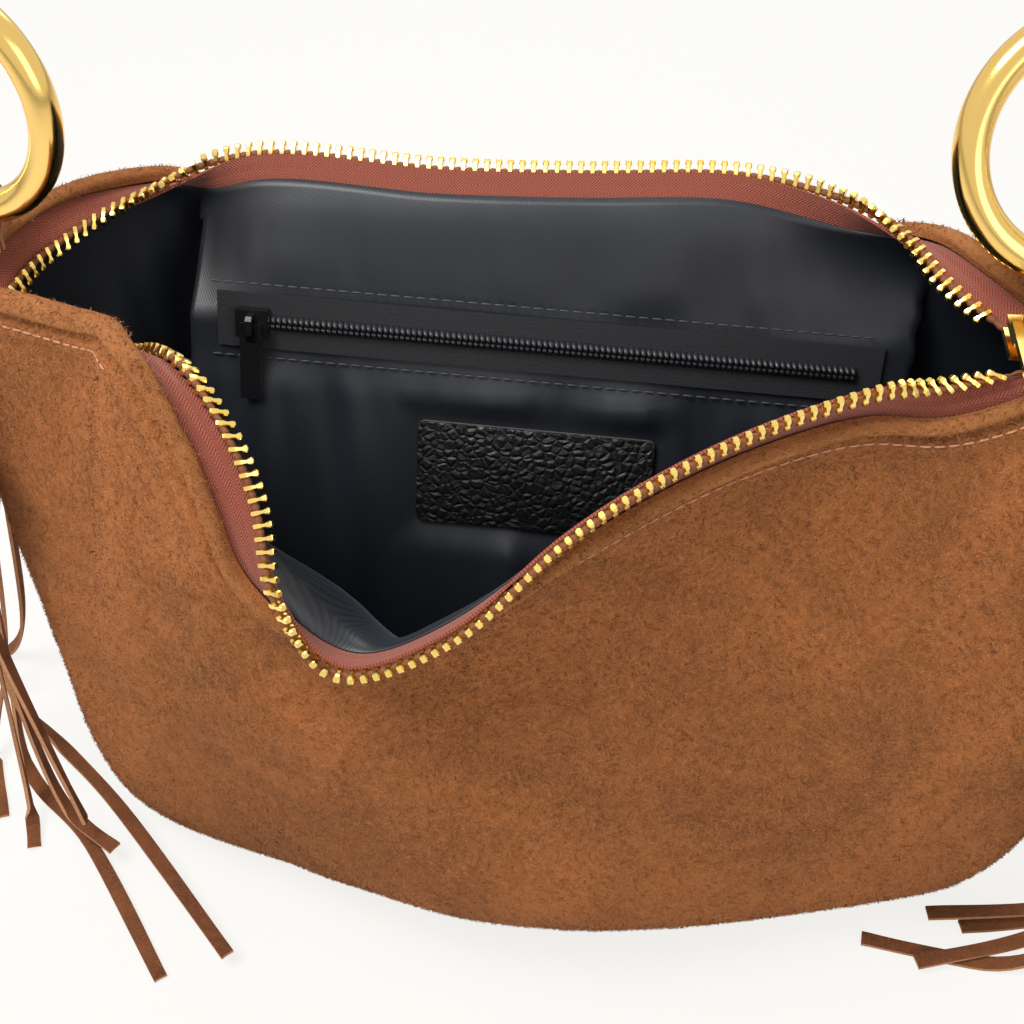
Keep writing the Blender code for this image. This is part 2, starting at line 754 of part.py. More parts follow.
def main_slider(wall: Wall, material) -> None:
    """Make the main zip's slider at the right end of the mouth, and its pull."""
    end = wall.front.rim(wall.front.length)
    way = direction(SLIDER_AZIMUTH, -SLIDER_DIP)
    seat = end + Vector((-SLIDER_INWARD, SLIDER_BACKWARD, SLIDER_LIFT))
    frame = frame_matrix(seat, way, Vector((0, 0, 1)))
    top = SLIDER_HEIGHT / 2
    groove = SLIDER_GROOVE / 2
    wide = SLIDER_WIDTH / 2
    post = SLIDER_POST / 2
    side = [(wide, -top), (wide, -groove), (post, -groove), (post, groove), (wide, groove), (wide, top)]
    outline = side + [(-y, z) for y, z in reversed(side)]
    lying = frame @ Matrix.Rotation(math.radians(90), 4, "Z")
    thing = solid("zip_slider", outline, SLIDER_LENGTH, lying, material)
    unite(thing, bail("zip_bail", top, frame, material))
    hinge = hinge_frame(frame, top, PULL)
    pull("zip_pull", PULL_LENGTH, PULL_WIDTH, PULL, True, hinge, material)


def pocket_matrix(along_shift: float, down_shift: float, rise: float) -> Matrix:
    """Place a frame on the pocket's plane: X along the zip, Y up the wall, Z to the front."""
    centre, along, down, front = pocket_frame()
    return frame_matrix(centre + along * along_shift + down * down_shift + front * rise, along, front)


def inner_pocket(tape_finish, coil_finish, slider_finish, leather_finish) -> None:
    """Make the inner pocket's tape, coil, slider, pull and pouch, and the leather patch."""
    rise = SEAT_GAP + POCKET_TAPE
    block("pocket_tape", (POCKET_LENGTH, POCKET_WINDOW, POCKET_TAPE), pocket_matrix(0, 0, rise - POCKET_TAPE / 2), tape_finish)
    coil_base = rise + SEAT_GAP
    half = COIL_WIDTH / 2
    section = [(-half, 0), (-0.7 * half, COIL_RISE), (0.7 * half, COIL_RISE), (half, 0)]
    turned = pocket_matrix(0, 0, coil_base) @ Matrix.Rotation(math.radians(90), 4, "Z")
    solid("pocket_coil", section, COIL_LENGTH, turned, coil_finish)
    inside = half + SEAT_GAP
    outside = POCKET_SLIDER_WIDTH / 2
    under = COIL_RISE + SEAT_GAP
    over = under + POCKET_SLIDER_PLATE
    channel = [(outside, 0), (outside, over), (-outside, over), (-outside, 0), (-inside, 0), (-inside, under), (inside, under), (inside, 0)]
    start = -COIL_LENGTH / 2 + POCKET_SLIDER_LENGTH / 2
    frame = pocket_matrix(start, 0, coil_base)
    thing = solid("pocket_slider", channel, POCKET_SLIDER_LENGTH, frame @ Matrix.Rotation(math.radians(90), 4, "Z"), slider_finish)
    level = frame @ Matrix.Rotation(math.radians(-90), 4, "Z")
    unite(thing, bail("pocket_bail", over, level, slider_finish))
    hinge = hinge_frame(level, over, CROSSBAR)
    pull("pocket_pull", POCKET_PULL_LENGTH, POCKET_PULL_WIDTH, CROSSBAR, False, hinge, slider_finish)
    pouch = (POUCH_LENGTH, POUCH_DEPTH, POUCH)
    drop = POUCH_DEPTH / 2 - POCKET_WINDOW / 2
    block("pocket_pouch", pouch, pocket_matrix(0, drop, -LINING - SEAT_GAP - POUCH / 2), tape_finish)
    drop = LABEL_DROP + LABEL_HEIGHT / 2
    patch = (LABEL_WIDTH, LABEL_HEIGHT, LABEL)
    block("leather_patch", patch, pocket_matrix(LABEL_X, drop, SEAT_GAP + LABEL / 2), leather_finish)


def highest_under(wall: Wall, column: int, frame: Matrix) -> float:
    """Give how far down a tab can reach before it meets the suede around a seam column."""
    lowest = 1.0
    inverse = frame.inverted()
    for i in range(column - 4, column + 5):
        for step in range(40):
            spot = place(wall, i, TAPE_SHOWN + step * MM, SUEDE + ROLL_STEP)
            local = inverse @ spot
            if abs(local.x) < TAB_WIDTH + SUEDE and abs(local.y) < TAB_WIDTH / 2 + SUEDE:
                lowest = min(lowest, -local.z)
    return lowest - SEAT_GAP


def ring_tab(wall: Wall, name: str, place_at: RingPlace, column: int, material) -> None:
    """Make a suede tab that goes round a ring and down to the bag's shoulder."""
    frame = ring_matrix(place_at)
    level = Matrix.Rotation(math.radians(place_at.turn), 4, "Z")
    level.translation = frame.translation
    drop = highest_under(wall, column, level)
    half = TAB_WIDTH / 2
    sagitta = RING_RADIUS - math.sqrt(RING_RADIUS**2 - half**2)
    radius = RING_TUBE + sagitta + TAB_CLEARANCE + SUEDE / 2
    foot = (SUEDE + SEAT_GAP) / 2
    path = [(foot, -drop), (foot, -radius - TAB_NECK)]
    steps = 10
    start = math.radians(-60)
    for i in range(steps + 1):
        angle = start + (math.pi / 2 - start) * i / steps
        path.append((radius * math.cos(angle), radius * math.sin(angle)))
    path += [(-across, high) for across, high in reversed(path[:-1])]
    rings = []
    for i, (across, high) in enumerate(path):
        before = path[max(i - 1, 0)]
        after = path[min(i + 1, len(path) - 1)]
        ahead = Vector((0, after[0] - before[0], after[1] - before[1])).normalized()
        out = Vector((0, ahead.z, -ahead.y)) * SUEDE / 2
        middle = Vector((0, across, high))
        wide = Vector((half, 0, 0))
        rings.append([middle - out - wide, middle + out - wide, middle + out + wide, middle - out + wide])
    points, faces = loft(rings)
    thing = add_object(name, points, faces, material, 40)
    thing.matrix_world = level


def strip(name: str, route: list, root_way: Vector, material) -> None:
    """Make one cut strip of suede along a smooth route, flat once it lies on the ground."""
    rings = []
    last = len(route) - 1
    for i in range(STRIP_STEPS + 1):
        at = last * i / STRIP_STEPS
        centre = blend(route, at)
        ahead = (blend(route, min(at + 0.05, last)) - blend(route, max(at - 0.05, 0.0))).normalized()
        flat = Vector((0, 0, 1)).cross(ahead)
        if flat.dot(root_way) < 0.0:
            flat = -flat
        steep = min(max((abs(ahead.z) - 0.3) / 0.5, 0.0), 1.0)
        wide = root_way * steep + flat * (1.0 - steep)
        wide = (wide - ahead * wide.dot(ahead)).normalized()
        thin = ahead.cross(wide).normalized() * STRIP / 2
        wide = wide * STRIP_WIDTH / 2
        lowest = centre.z - abs(wide.z) - abs(thin.z)
        centre.z += max(STRIP_FLOOR - lowest, 0.0)
        rings.append([centre - wide - thin, centre + wide - thin, centre + wide + thin, centre - wide + thin])
    points, faces = loft(rings)
    add_object(name, points, faces, material, 30)


def header_frame(wall: Wall, column: int) -> Matrix:
    """Give the frame of a fringe header on a side seam: X outwards, Y along it, Z up."""
    seat = place(wall, column, HEADER_DEPTH, SUEDE)
    outward = wall.normal(column, 0.0, HEADER_DEPTH / wall.runs[column][-1])
    return frame_matrix(seat + outward * (HEADER_STAND + HEADER / 2), outward, Vector((0, 0, 1)))


def fringe(wall: Wall, side: str, column: int, routes: list, material) -> None:
    """Make a side's header and the strips that hang from it to the ground."""
    frame = header_frame(wall, column)
    block("fringe_header_" + side, (HEADER, HEADER_LENGTH, HEADER_HEIGHT), frame, material)
    turned = frame.to_3x3()
    for i, route in enumerate(routes):
        share = (i + 0.5) / len(routes) - 0.5
        root = Vector((0, share * (HEADER_LENGTH - STRIP_WIDTH), -HEADER_HEIGHT / 2 - HEADER_GAP))
        points = [frame @ root, frame @ (root - Vector((0, 0, STRIP_START)))]
        points += [Vector(point) * MM for point in route]
        strip(f"fringe_{side}_{i + 1:02d}", points, turned @ Vector((0, 1, 0)), material)


def build() -> None:
    """Build the whole bag."""
    clear_scene()
    suede = finish("suede", (0.36, 0.14, 0.055), 0.95)
    tape = finish("zip tape", (0.28, 0.09, 0.05), 0.85)
    satin = finish("black satin", (0.012, 0.013, 0.016), 0.45)
    gold = finish("gold plate", (0.83, 0.55, 0.16), 0.22, 1.0)
    black = finish("black enamel", (0.008, 0.008, 0.009), 0.35)
    leather = finish("pebbled leather", (0.006, 0.006, 0.007), 0.4)
    weave = finish("black tape", (0.015, 0.015, 0.018), 0.7)
    wall = Wall()
    seam = FRONT_COLUMNS + BACK_COLUMNS
    suede_panel(wall, "suede_front", 0, FRONT_COLUMNS, suede)
    suede_panel(wall, "suede_back", FRONT_COLUMNS, seam, suede)
    suede_base(suede)
    zip_tape(wall, "zip_tape_front", 0, FRONT_COLUMNS, tape)
    zip_tape(wall, "zip_tape_back", FRONT_COLUMNS, seam, tape)
    lining(wall, satin)
    comb(wall, wall.front, "zip_teeth_front", -1.0, CHAIN_END, gold)
    comb(wall, wall.back, "zip_teeth_back", 1.0, CHAIN_END + SLIDER_WIDTH, gold)
    main_slider(wall, gold)
    inner_pocket(weave, black, black, leather)
    torus("ring_left", RING_LEFT, gold)
    torus("ring_right", RING_RIGHT, gold)
    ring_tab(wall, "ring_tab_left", RING_LEFT, 0, suede)
    ring_tab(wall, "ring_tab_right", RING_RIGHT, FRONT_COLUMNS, suede)
    fringe(wall, "left", 0, LEFT_ROUTES, suede)
    fringe(wall, "right", FRONT_COLUMNS, RIGHT_ROUTES, suede)


build()
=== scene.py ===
"""Dress the fringed suede bag: suede with its nap, zip, satin lining, gold rings and fringe."""

import logging
import math
from collections.abc import Iterable
from dataclasses import dataclass, field
from enum import Enum

import bmesh
import bpy
import numpy as np
from mathutils import Matrix, Vector, noise


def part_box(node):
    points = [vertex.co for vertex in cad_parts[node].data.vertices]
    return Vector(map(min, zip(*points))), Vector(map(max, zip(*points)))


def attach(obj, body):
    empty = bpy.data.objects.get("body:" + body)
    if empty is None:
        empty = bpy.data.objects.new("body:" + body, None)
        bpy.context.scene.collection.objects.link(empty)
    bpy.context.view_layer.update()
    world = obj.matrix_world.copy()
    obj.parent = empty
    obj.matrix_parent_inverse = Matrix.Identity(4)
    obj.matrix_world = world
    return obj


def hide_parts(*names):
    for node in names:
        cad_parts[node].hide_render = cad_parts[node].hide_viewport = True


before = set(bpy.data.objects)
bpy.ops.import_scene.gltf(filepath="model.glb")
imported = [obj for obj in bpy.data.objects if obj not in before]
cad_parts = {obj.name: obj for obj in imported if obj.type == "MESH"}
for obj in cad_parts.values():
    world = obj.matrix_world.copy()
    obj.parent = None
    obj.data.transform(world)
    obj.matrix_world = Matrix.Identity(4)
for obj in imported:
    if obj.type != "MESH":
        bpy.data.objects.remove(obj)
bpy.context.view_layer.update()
LOG = logging.getLogger("bag")
MM = 0.001


class Bodies(Enum):
    """The rigid bodies that the pieces move with."""

    BAG = "bag"
    RING_LEFT = "ring_left"
    RING_RIGHT = "ring_right"
    ZIP_PULL = "zip_pull"
    POCKET_SLIDER = "pocket_slider"
    POCKET_PULL = "pocket_pull"


class Face(Enum):
    """The two halves of the bag's wall."""

    FRONT = "front"
    BACK = "back"


def linear(code: str) -> tuple[float, float, float, float]:
    """Turn an sRGB hex colour to linear.

    Args:
        code: six hex digits.

    Returns:
        The linear colour with an alpha of 1.
    """
    parts = [int(code[i : i + 2], 16) / 255 for i in (0, 2, 4)]
    values = [c / 12.92 if c <= 0.04045 else ((c + 0.055) / 1.055) ** 2.4 for c in parts]
    return (*values, 1.0)


def add_node(tree: bpy.types.NodeTree, kind: str, settings: dict, links: dict) -> bpy.types.Node:
    """Add one shader node with its settings and links.

    Args:
        tree: the material's node tree.
        kind: the node's type name.
        settings: socket values by name, and attributes by a name that starts with a dot.
        links: output sockets by the name or number of the input that they feed.

    Returns:
        The new node.
    """
    node = tree.nodes.new(kind)
    for name, value in settings.items():
        if isinstance(name, str) and name.startswith("."):
            setattr(node, name[1:], value)
        else:
            node.inputs[name].default_value = value
    for name, socket in links.items():
        tree.links.new(socket, node.inputs[name])
    return node


def blend(values: list, place: float):
    """Read a smooth curve through evenly numbered values.

    Args:
        values: the values that the curve goes through.
        place: a place between them, from 0 to the last one's number.

    Returns:
        The value there.
    """
    last = len(values) - 1
    index = min(int(place), last - 1)
    part = place - index
    before = values[max(index - 1, 0)]
    start = values[index]
    end = values[index + 1]
    after = values[min(index + 2, last)]
    square = part * part
    cube = square * part
    return 0.5 * (
        2 * start
        + (end - before) * part
        + (2 * before - 5 * start + 4 * end - after) * square
        + (3 * start - before - 3 * end + after) * cube
    )


def direction(azimuth: float, elevation: float) -> Vector:
    """Give a unit vector from two angles in degrees."""
    turn = math.radians(azimuth)
    rise = math.radians(elevation)
    return Vector((math.cos(turn) * math.cos(rise), math.sin(turn) * math.cos(rise), math.sin(rise)))


def make_object(name: str, points: list, faces: list, material: bpy.types.Material, sharp: float = 60.0,
                uvs: list | None = None) -> bpy.types.Object:
    """Make a smooth-shaded mesh object.

    Args:
        name: the piece's name.
        points: its points in metres.
        faces: its faces as point numbers.
        material: its first material.
        sharp: the angle in degrees past which an edge stays sharp.
        uvs: a texture place in millimetres for each point, if the material needs one.

    Returns:
        The linked object.
    """
    mesh = bpy.data.meshes.new(name)
    mesh.from_pydata([tuple(p) for p in points], [], faces)
    if uvs is not None:
        layer = mesh.uv_layers.new(name="mm")
        for loop in mesh.loops:
            layer.data[loop.index].uv = uvs[loop.vertex_index]
    mesh.shade_smooth()
    mesh.set_sharp_from_angle(angle=math.radians(sharp))
    mesh.materials.append(material)
    thing = bpy.data.objects.new(name, mesh)
    bpy.context.scene.collection.objects.link(thing)
    return thing


def make_solid(name: str, points: list, faces: list, material: bpy.types.Material, sharp: float,
               uvs: list | None = None) -> bpy.types.Object:
    """Make a closed mesh object with its faces turned outwards, from what make_object takes."""
    thing = make_object(name, points, faces, material, sharp, uvs)
    work = bmesh.new()
    work.from_mesh(thing.data)
    bmesh.ops.recalc_face_normals(work, faces=work.faces)
    work.to_mesh(thing.data)
    work.free()
    return thing


def refinish(thing: bpy.types.Object, material: bpy.types.Material, numbers: Iterable[int]) -> None:
    """Give the numbered faces of a piece a second material."""
    thing.data.materials.append(material)
    for number in numbers:
        thing.data.polygons[number].material_index = 1


def settle(thing: bpy.types.Object, body: Bodies, slot: str, *nodes: str) -> None:
    """Make a piece ride on its body and stand for its solids.

    Args:
        thing: the piece.
        body: the body that it moves with.
        slot: the name of a material slot; not used.
        nodes: the solids that it replaces.
    """
    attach(thing, body.value)
    if nodes:
        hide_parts(*nodes)
    LOG.info("%s: %d faces", thing.name, len(thing.data.polygons))


def dress(name: str, material: bpy.types.Material) -> None:
    """Give a solid that is shown as it is its finish."""
    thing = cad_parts[name]
    thing.data.materials.clear()
    thing.data.materials.append(material)
    LOG.info("%s dressed", name)


def run_along(line: np.ndarray) -> np.ndarray:
    """Give each point's distance along a line of points."""
    return np.concatenate([[0.0], np.cumsum(np.linalg.norm(np.diff(line, axis=0), axis=1))])


def unit(vectors: np.ndarray) -> np.ndarray:
    """Bring the vectors of an array to a length of 1."""
    return vectors / np.maximum(np.linalg.norm(vectors, axis=-1, keepdims=True), 1e-12)


def octagon(across: float, up: float) -> tuple:
    """Give the corners of a square from -1 to 1 whose own corners are cut off at two shares."""
    return (-1, -up), (-across, -1), (across, -1), (1, -up), (1, up), (across, 1), (-across, 1), (-1, up)


def round_ring(centre: Vector, one: Vector, two: Vector, radius: float, sides: int) -> list[Vector]:
    """Give a ring of points round a centre, in the plane of two ways."""
    angles = [2 * math.pi * k / sides for k in range(sides)]
    return [centre + (one * math.cos(a) + two * math.sin(a)) * radius for a in angles]


def loft(rings: list[list[Vector]], first: int = 0) -> tuple[list, list]:
    """Join rings of points into one closed skin with flat ends.

    Args:
        rings: rings with equally many points.
        first: the number of the first point.

    Returns:
        The points and the faces.
    """
    sides = len(rings[0])
    points = [p for ring in rings for p in ring]
    faces = [tuple(first + i for i in reversed(range(sides)))]
    for r in range(len(rings) - 1):
        for c in range(sides):
            n = (c + 1) % sides
            a = first + r * sides
            faces.append((a + c, a + n, a + sides + n, a + sides + c))
    last = first + (len(rings) - 1) * sides
    faces.append(tuple(range(last, last + sides)))
    return points, faces


def principled(name: str, colour: str, roughness: float, settings: dict | None = None) -> tuple:
    """Make a material with a Principled shader.

    Args:
        name: the finish's name.
        colour: its sRGB hex colour.
        roughness: its roughness.
        settings: values for more of the shader's sockets, by name.

    Returns:
        The material, its node tree and its shader.
    """
    material = bpy.data.materials.new(name)
    material.use_nodes = True
    tree = material.node_tree
    shader = tree.nodes["Principled BSDF"]
    values = {"Base Color": linear(colour), "Roughness": roughness, **(settings or {})}
    for socket, value in values.items():
        shader.inputs[socket].default_value = value
    return material, tree, shader


def own_place(tree: bpy.types.NodeTree) -> bpy.types.NodeSocket:
    """Give the socket of a piece's own coordinates."""
    return add_node(tree, "ShaderNodeTexCoord", {}, {}).outputs["Object"]


def noise_at(tree: bpy.types.NodeTree, place: bpy.types.NodeSocket, size_mm: float,
             **sockets: float) -> bpy.types.Node:
    """Add a noise texture of a size in millimetres, with the values of its other sockets by name."""
    return add_node(tree, "ShaderNodeTexNoise", {"Scale": 1 / (size_mm * MM), **sockets}, {"Vector": place})


def ranged(tree: bpy.types.NodeTree, value: bpy.types.NodeSocket, source: tuple[float, float],
           target: tuple[float, float] = (0.0, 1.0)) -> bpy.types.NodeSocket:
    """Map a value from one range to another."""
    ends = {"From Min": source[0], "From Max": source[1], "To Min": target[0], "To Max": target[1]}
    return add_node(tree, "ShaderNodeMapRange", ends, {"Value": value}).outputs[0]


def maths(tree: bpy.types.NodeTree, operation: str,
          *terms: float | bpy.types.NodeSocket) -> bpy.types.NodeSocket:
    """Work out an operation on terms that are numbers or sockets."""
    numbers = {i: term for i, term in enumerate(terms) if isinstance(term, float)}
    sockets = {i: term for i, term in enumerate(terms) if i not in numbers}
    return add_node(tree, "ShaderNodeMath", {".operation": operation, **numbers}, sockets).outputs[0]


def mixed(tree: bpy.types.NodeTree, share: bpy.types.NodeSocket, first: str | bpy.types.NodeSocket,
          second: str) -> bpy.types.NodeSocket:
    """Mix a hex colour, or what an earlier mix gave, with a second hex colour."""
    settings = {".data_type": "RGBA", 7: linear(second)}
    links = {0: share}
    if isinstance(first, str):
        settings[6] = linear(first)
    else:
        links[6] = first
    return add_node(tree, "ShaderNodeMix", settings, links).outputs[2]


def relieve(tree: bpy.types.NodeTree, shader: bpy.types.Node, height: bpy.types.NodeSocket,
            strength: float, depth_mm: float) -> None:
    """Give a shader a relief of a depth in millimetres."""
    bump = add_node(
        tree, "ShaderNodeBump", {"Strength": strength, "Distance": depth_mm * MM}, {"Height": height},
    )
    tree.links.new(bump.outputs["Normal"], shader.inputs["Normal"])


def grained(tree: bpy.types.NodeTree, shader: bpy.types.Node, colours: tuple[str, str], grain_mm: float,
            strength: float) -> None:
    """Give a shader a fine two-tone grain with a little relief.

    Args:
        tree: the material's node tree.
        shader: its Principled shader.
        colours: the grain's darker and paler colours.
        grain_mm: the grain's size in millimetres.
        strength: the relief's strength.
    """
    grain = noise_at(tree, own_place(tree), grain_mm, Detail=3.0).outputs["Fac"]
    tree.links.new(mixed(tree, grain, *colours), shader.inputs["Base Color"])
    relieve(tree, shader, grain, strength, 0.3)


@dataclass(frozen=True)
class Suede:
    """Brushed cow suede: split leather sanded to a nap of short curly fibres.

    The nap scatters light all round, so it has no gloss, a soft sheen at grazing angles, and
    paler and darker patches where it is brushed one way or the other.
    """

    name: str = "cow suede"
    mid: str = "B06634"
    dark: str = "7E4521"
    pale: str = "DE9A62"
    fibre_mm: float = 1.2
    patch_mm: float = 60.0

    def build(self) -> bpy.types.Material:
        """Make the material."""
        material, tree, shader = principled(self.name, self.mid, 0.95, {
            "Specular IOR Level": 0.12,
            "Sheen Weight": 0.16,
            "Sheen Roughness": 0.6,
            "Sheen Tint": linear("D9A57C"),
        })
        place = own_place(tree)
        patches = noise_at(tree, place, self.patch_mm, Detail=4.0, Roughness=0.62, Distortion=0.7)
        fibres = noise_at(tree, place, self.fibre_mm, Detail=3.0, Roughness=0.75, Distortion=3.0)
        fine = noise_at(tree, place, 0.35 * self.fibre_mm, Detail=2.0, Distortion=1.0)
        brushed = ranged(tree, patches.outputs["Fac"], (0.36, 0.66))
        flecks = maths(tree, "MULTIPLY", ranged(tree, fibres.outputs["Fac"], (0.42, 0.62)), 0.45)
        colour = mixed(tree, flecks, mixed(tree, brushed, self.dark, self.mid), self.pale)
        tree.links.new(colour, shader.inputs["Base Color"])
        relieve(tree, shader, maths(tree, "ADD", fibres.outputs["Fac"], fine.outputs["Fac"]), 0.8, 1.1)
        return material


@dataclass(frozen=True)
class CutSuede:
    """The bare cut edge of suede: raw split fibres, paler than the nap and quite matt."""

    name: str = "cut suede edge"
    colour: str = "C0906B"
    shade: str = "8F5E3E"

    def build(self) -> bpy.types.Material:
        """Make the material."""
        material, tree, shader = principled(self.name, self.colour, 0.95, {"Specular IOR Level": 0.1})
        grained(tree, shader, (self.shade, self.colour), 0.9, 0.4)
        return material


@dataclass(frozen=True)
class Herringbone:
    """Polyester zip tape woven in a herringbone: reddish brown, in slanting ribs that turn back."""

    name: str = "herringbone zip tape"
    mid: str = "A2523C"
    dark: str = "6F3324"
    rib_mm: float = 0.85
    stripe_mm: float = 3.2
    slope: float = 1.2

    def build(self) -> bpy.types.Material:
        """Make the material."""
        material, tree, shader = principled(self.name, self.mid, 0.82, {"Sheen Weight": 0.12})
        place = add_node(tree, "ShaderNodeUVMap", {".uv_map": "mm"}, {}).outputs["UV"]
        parts = add_node(tree, "ShaderNodeSeparateXYZ", {}, {"Vector": place})
        turned = maths(tree, "PINGPONG", parts.outputs[1], self.stripe_mm / 2)
        slant = maths(tree, "MULTIPLY_ADD", turned, self.slope, parts.outputs[0])
        wave = maths(tree, "SINE", maths(tree, "MULTIPLY", slant, 2 * math.pi / self.rib_mm))
        share = ranged(tree, wave, (-1.0, 1.0))
        tree.links.new(mixed(tree, share, self.dark, self.mid), shader.inputs["Base Color"])
        relieve(tree, shader, share, 0.7, 0.3)
        return material


@dataclass(frozen=True)
class Satin:
    """Black polyester twill satin: smooth floating threads that give a broad bluish sheen."""

    name: str = "black twill satin"
    colour: str = "16181D"
    lit: str = "23262D"
    # The real threads lie 0.2 mm apart, too fine to show, so the twill is drawn at 0.6 mm
    twill_mm: float = 0.6
    # What a wave texture of scale 1 repeats after
    wave_period: float = 0.314

    def build(self) -> bpy.types.Material:
        """Make the material."""
        material, tree, shader = principled(self.name, self.colour, 0.42, {
            "Sheen Weight": 0.25,
            "Sheen Roughness": 0.35,
            "Sheen Tint": linear("8C97AB"),
            "Specular IOR Level": 0.45,
        })
        slant = {"Rotation": (0.0, math.radians(40), 0.0)}
        turned = add_node(tree, "ShaderNodeMapping", slant, {"Vector": own_place(tree)})
        wave = add_node(
            tree, "ShaderNodeTexWave",
            {".bands_direction": "X", "Scale": self.wave_period / (self.twill_mm * MM), "Distortion": 0.6,
             "Detail Scale": 3.0},
            {"Vector": turned.outputs[0]},
        ).outputs["Fac"]
        tree.links.new(mixed(tree, wave, self.colour, self.lit), shader.inputs["Base Color"])
        relieve(tree, shader, wave, 0.12, 0.2)
        return material


@dataclass(frozen=True)
class Gold:
    """Polished gold-plated zinc, or brass: a mirror surface with a faint orange-peel."""

    name: str = "polished gold plate"
    colour: str = "EAC473"
    roughness: float = 0.16
    peel_mm: float = 3.0

    def build(self) -> bpy.types.Material:
        """Make the material."""
        material, tree, shader = principled(self.name, self.colour, self.roughness, {"Metallic": 1.0})
        peel = noise_at(tree, own_place(tree), self.peel_mm, Detail=2.0).outputs["Fac"]
        rough = ranged(tree, peel, (0.0, 1.0), (self.roughness * 0.8, self.roughness * 1.25))
        tree.links.new(rough, shader.inputs["Roughness"])
        relieve(tree, shader, peel, 0.08, 0.1)
        return material


@dataclass(frozen=True)
class Pebbled:
    """Pebbled cowhide: black grain leather tumbled into small rounded pebbles with fine creases."""

    name: str = "pebbled cowhide"
    colour: str = "0B0B0D"
    pebble_mm: float = 2.5
    bend_mm: float = 4.0

    def build(self) -> bpy.types.Material:
        """Make the material."""
        material, tree, shader = principled(self.name, self.colour, 0.45)
        place = own_place(tree)
        bent = noise_at(tree, place, self.bend_mm, Detail=2.0)
        moved = add_node(
            tree, "ShaderNodeVectorMath", {".operation": "MULTIPLY_ADD", 1: (0.002, 0.002, 0.002)},
            {0: bent.outputs["Color"], 2: place},
        )
        cells = add_node(
            tree, "ShaderNodeTexVoronoi",
            {".feature": "DISTANCE_TO_EDGE", "Scale": 1 / (self.pebble_mm * MM)},
            {"Vector": moved.outputs[0]},
        )
        relieve(tree, shader, ranged(tree, cells.outputs["Distance"], (0.0, 0.32)), 0.75, 0.5)
        return material


@dataclass(frozen=True)
class Plain:
    """A thread, nylon or enamel finish with a fine grain of its own."""

    name: str
    colour: str
    shade: str
    roughness: float
    grain_mm: float
    bump: float = 0.25

    def build(self) -> bpy.types.Material:
        """Make the material."""
        material, tree, shader = principled(self.name, self.colour, self.roughness)
        grained(tree, shader, (self.shade, self.colour), self.grain_mm, self.bump)
        return material


@dataclass
class Finishes:
    """Every finish of the bag, made once."""

    suede: bpy.types.Material = field(default_factory=lambda: Suede().build())
    # A paler copy of the suede: on the rim's raised roll it is a painted highlight, in the nap a random
    # paler fibre tone.
    pale_suede_and_roll_highlight: bpy.types.Material = field(
        default_factory=lambda: Suede("pale suede with painted roll highlight", "B8733F", "9A5A2C", "D69A66", 1.0, 30.0).build())
    strip: bpy.types.Material = field(
        default_factory=lambda: Suede("fringe suede", "8A5232", "5A3220", "B0714A", 1.0, 18.0).build())
    cut: bpy.types.Material = field(default_factory=lambda: CutSuede().build())
    tape: bpy.types.Material = field(default_factory=lambda: Herringbone().build())
    satin: bpy.types.Material = field(default_factory=lambda: Satin().build())
    gold: bpy.types.Material = field(default_factory=lambda: Gold().build())
    brass: bpy.types.Material = field(
        default_factory=lambda: Gold("polished brass teeth", "F2D37A", 0.22).build())
    pebbled: bpy.types.Material = field(default_factory=lambda: Pebbled().build())
    thread: bpy.types.Material = field(
        default_factory=lambda: Plain("tan polyester thread", "D09A76", "A87050", 0.6, 0.3).build())
    bead: bpy.types.Material = field(
        default_factory=lambda: Plain("brown chain cord", "8A5230", "5B321C", 0.75, 0.5).build())
    black_thread: bpy.types.Material = field(
        default_factory=lambda: Plain("black polyester thread", "3C3F45", "26282C", 0.55, 0.3).build())
    nylon: bpy.types.Material = field(
        default_factory=lambda: Plain("black nylon coil", "26282C", "131417", 0.35, 0.5).build())
    enamel: bpy.types.Material = field(
        default_factory=lambda: Plain("black enamel", "17181A", "0D0D0E", 0.28, 0.8, 0.1).build())
    weave: bpy.types.Material = field(
        default_factory=lambda: Plain("black woven tape", "1E2024", "101114", 0.7, 0.5, 0.5).build())
    raw: bpy.types.Material = field(
        default_factory=lambda: Plain("cut hide edge", "5A5654", "2A2827", 0.7, 0.5).build())


@dataclass(frozen=True)
class RimKey:
    """A point of the zip's chain, the way its tape points there, and the fullness below."""

    share: float
    y: float
    rise: float
    azimuth: float
    elevation: float
    reach: float
    push: float


LEFT_END = RimKey(-1.00, 12, -14.4, 0, -40, 14, 22)
RIGHT_END = RimKey(1.00, -1, 0, 180, -10, 26, 72)
FRONT_RIM = [
    LEFT_END,
    RimKey(-0.864, 7, -14, 50, -70, 10, 35.5),
    RimKey(-0.70, -3, -12, 55, -72, 11, 34),
    RimKey(-0.564, -16, -2, 30, -35, 18, 31),
    RimKey(-0.448, -29, -9.3, 14, -10, 19, 30),
    RimKey(-0.38, -39, -22.6, 12, 12, 19, 34),
    RimKey(-0.327, -54, -39.4, -40, 20, 19, 46.5),
    RimKey(-0.216, -61, -52.8, -90, 27, 28, 63),
    RimKey(-0.013, -58, -40.5, -80, 34, 43, 69.5),
    RimKey(0.171, -46, -20, -90, 58, 53, 60),
    RimKey(0.326, -35, -10, -90, 65, 53, 52),
    RimKey(0.50, -25, -2.3, -90, 68, 48, 47),
    RimKey(0.689, -16, 2.7, -90, 76, 38, 53),
    RimKey(0.80, -9, -0.6, 170, 50, 28, 61),
    RIGHT_END,
]
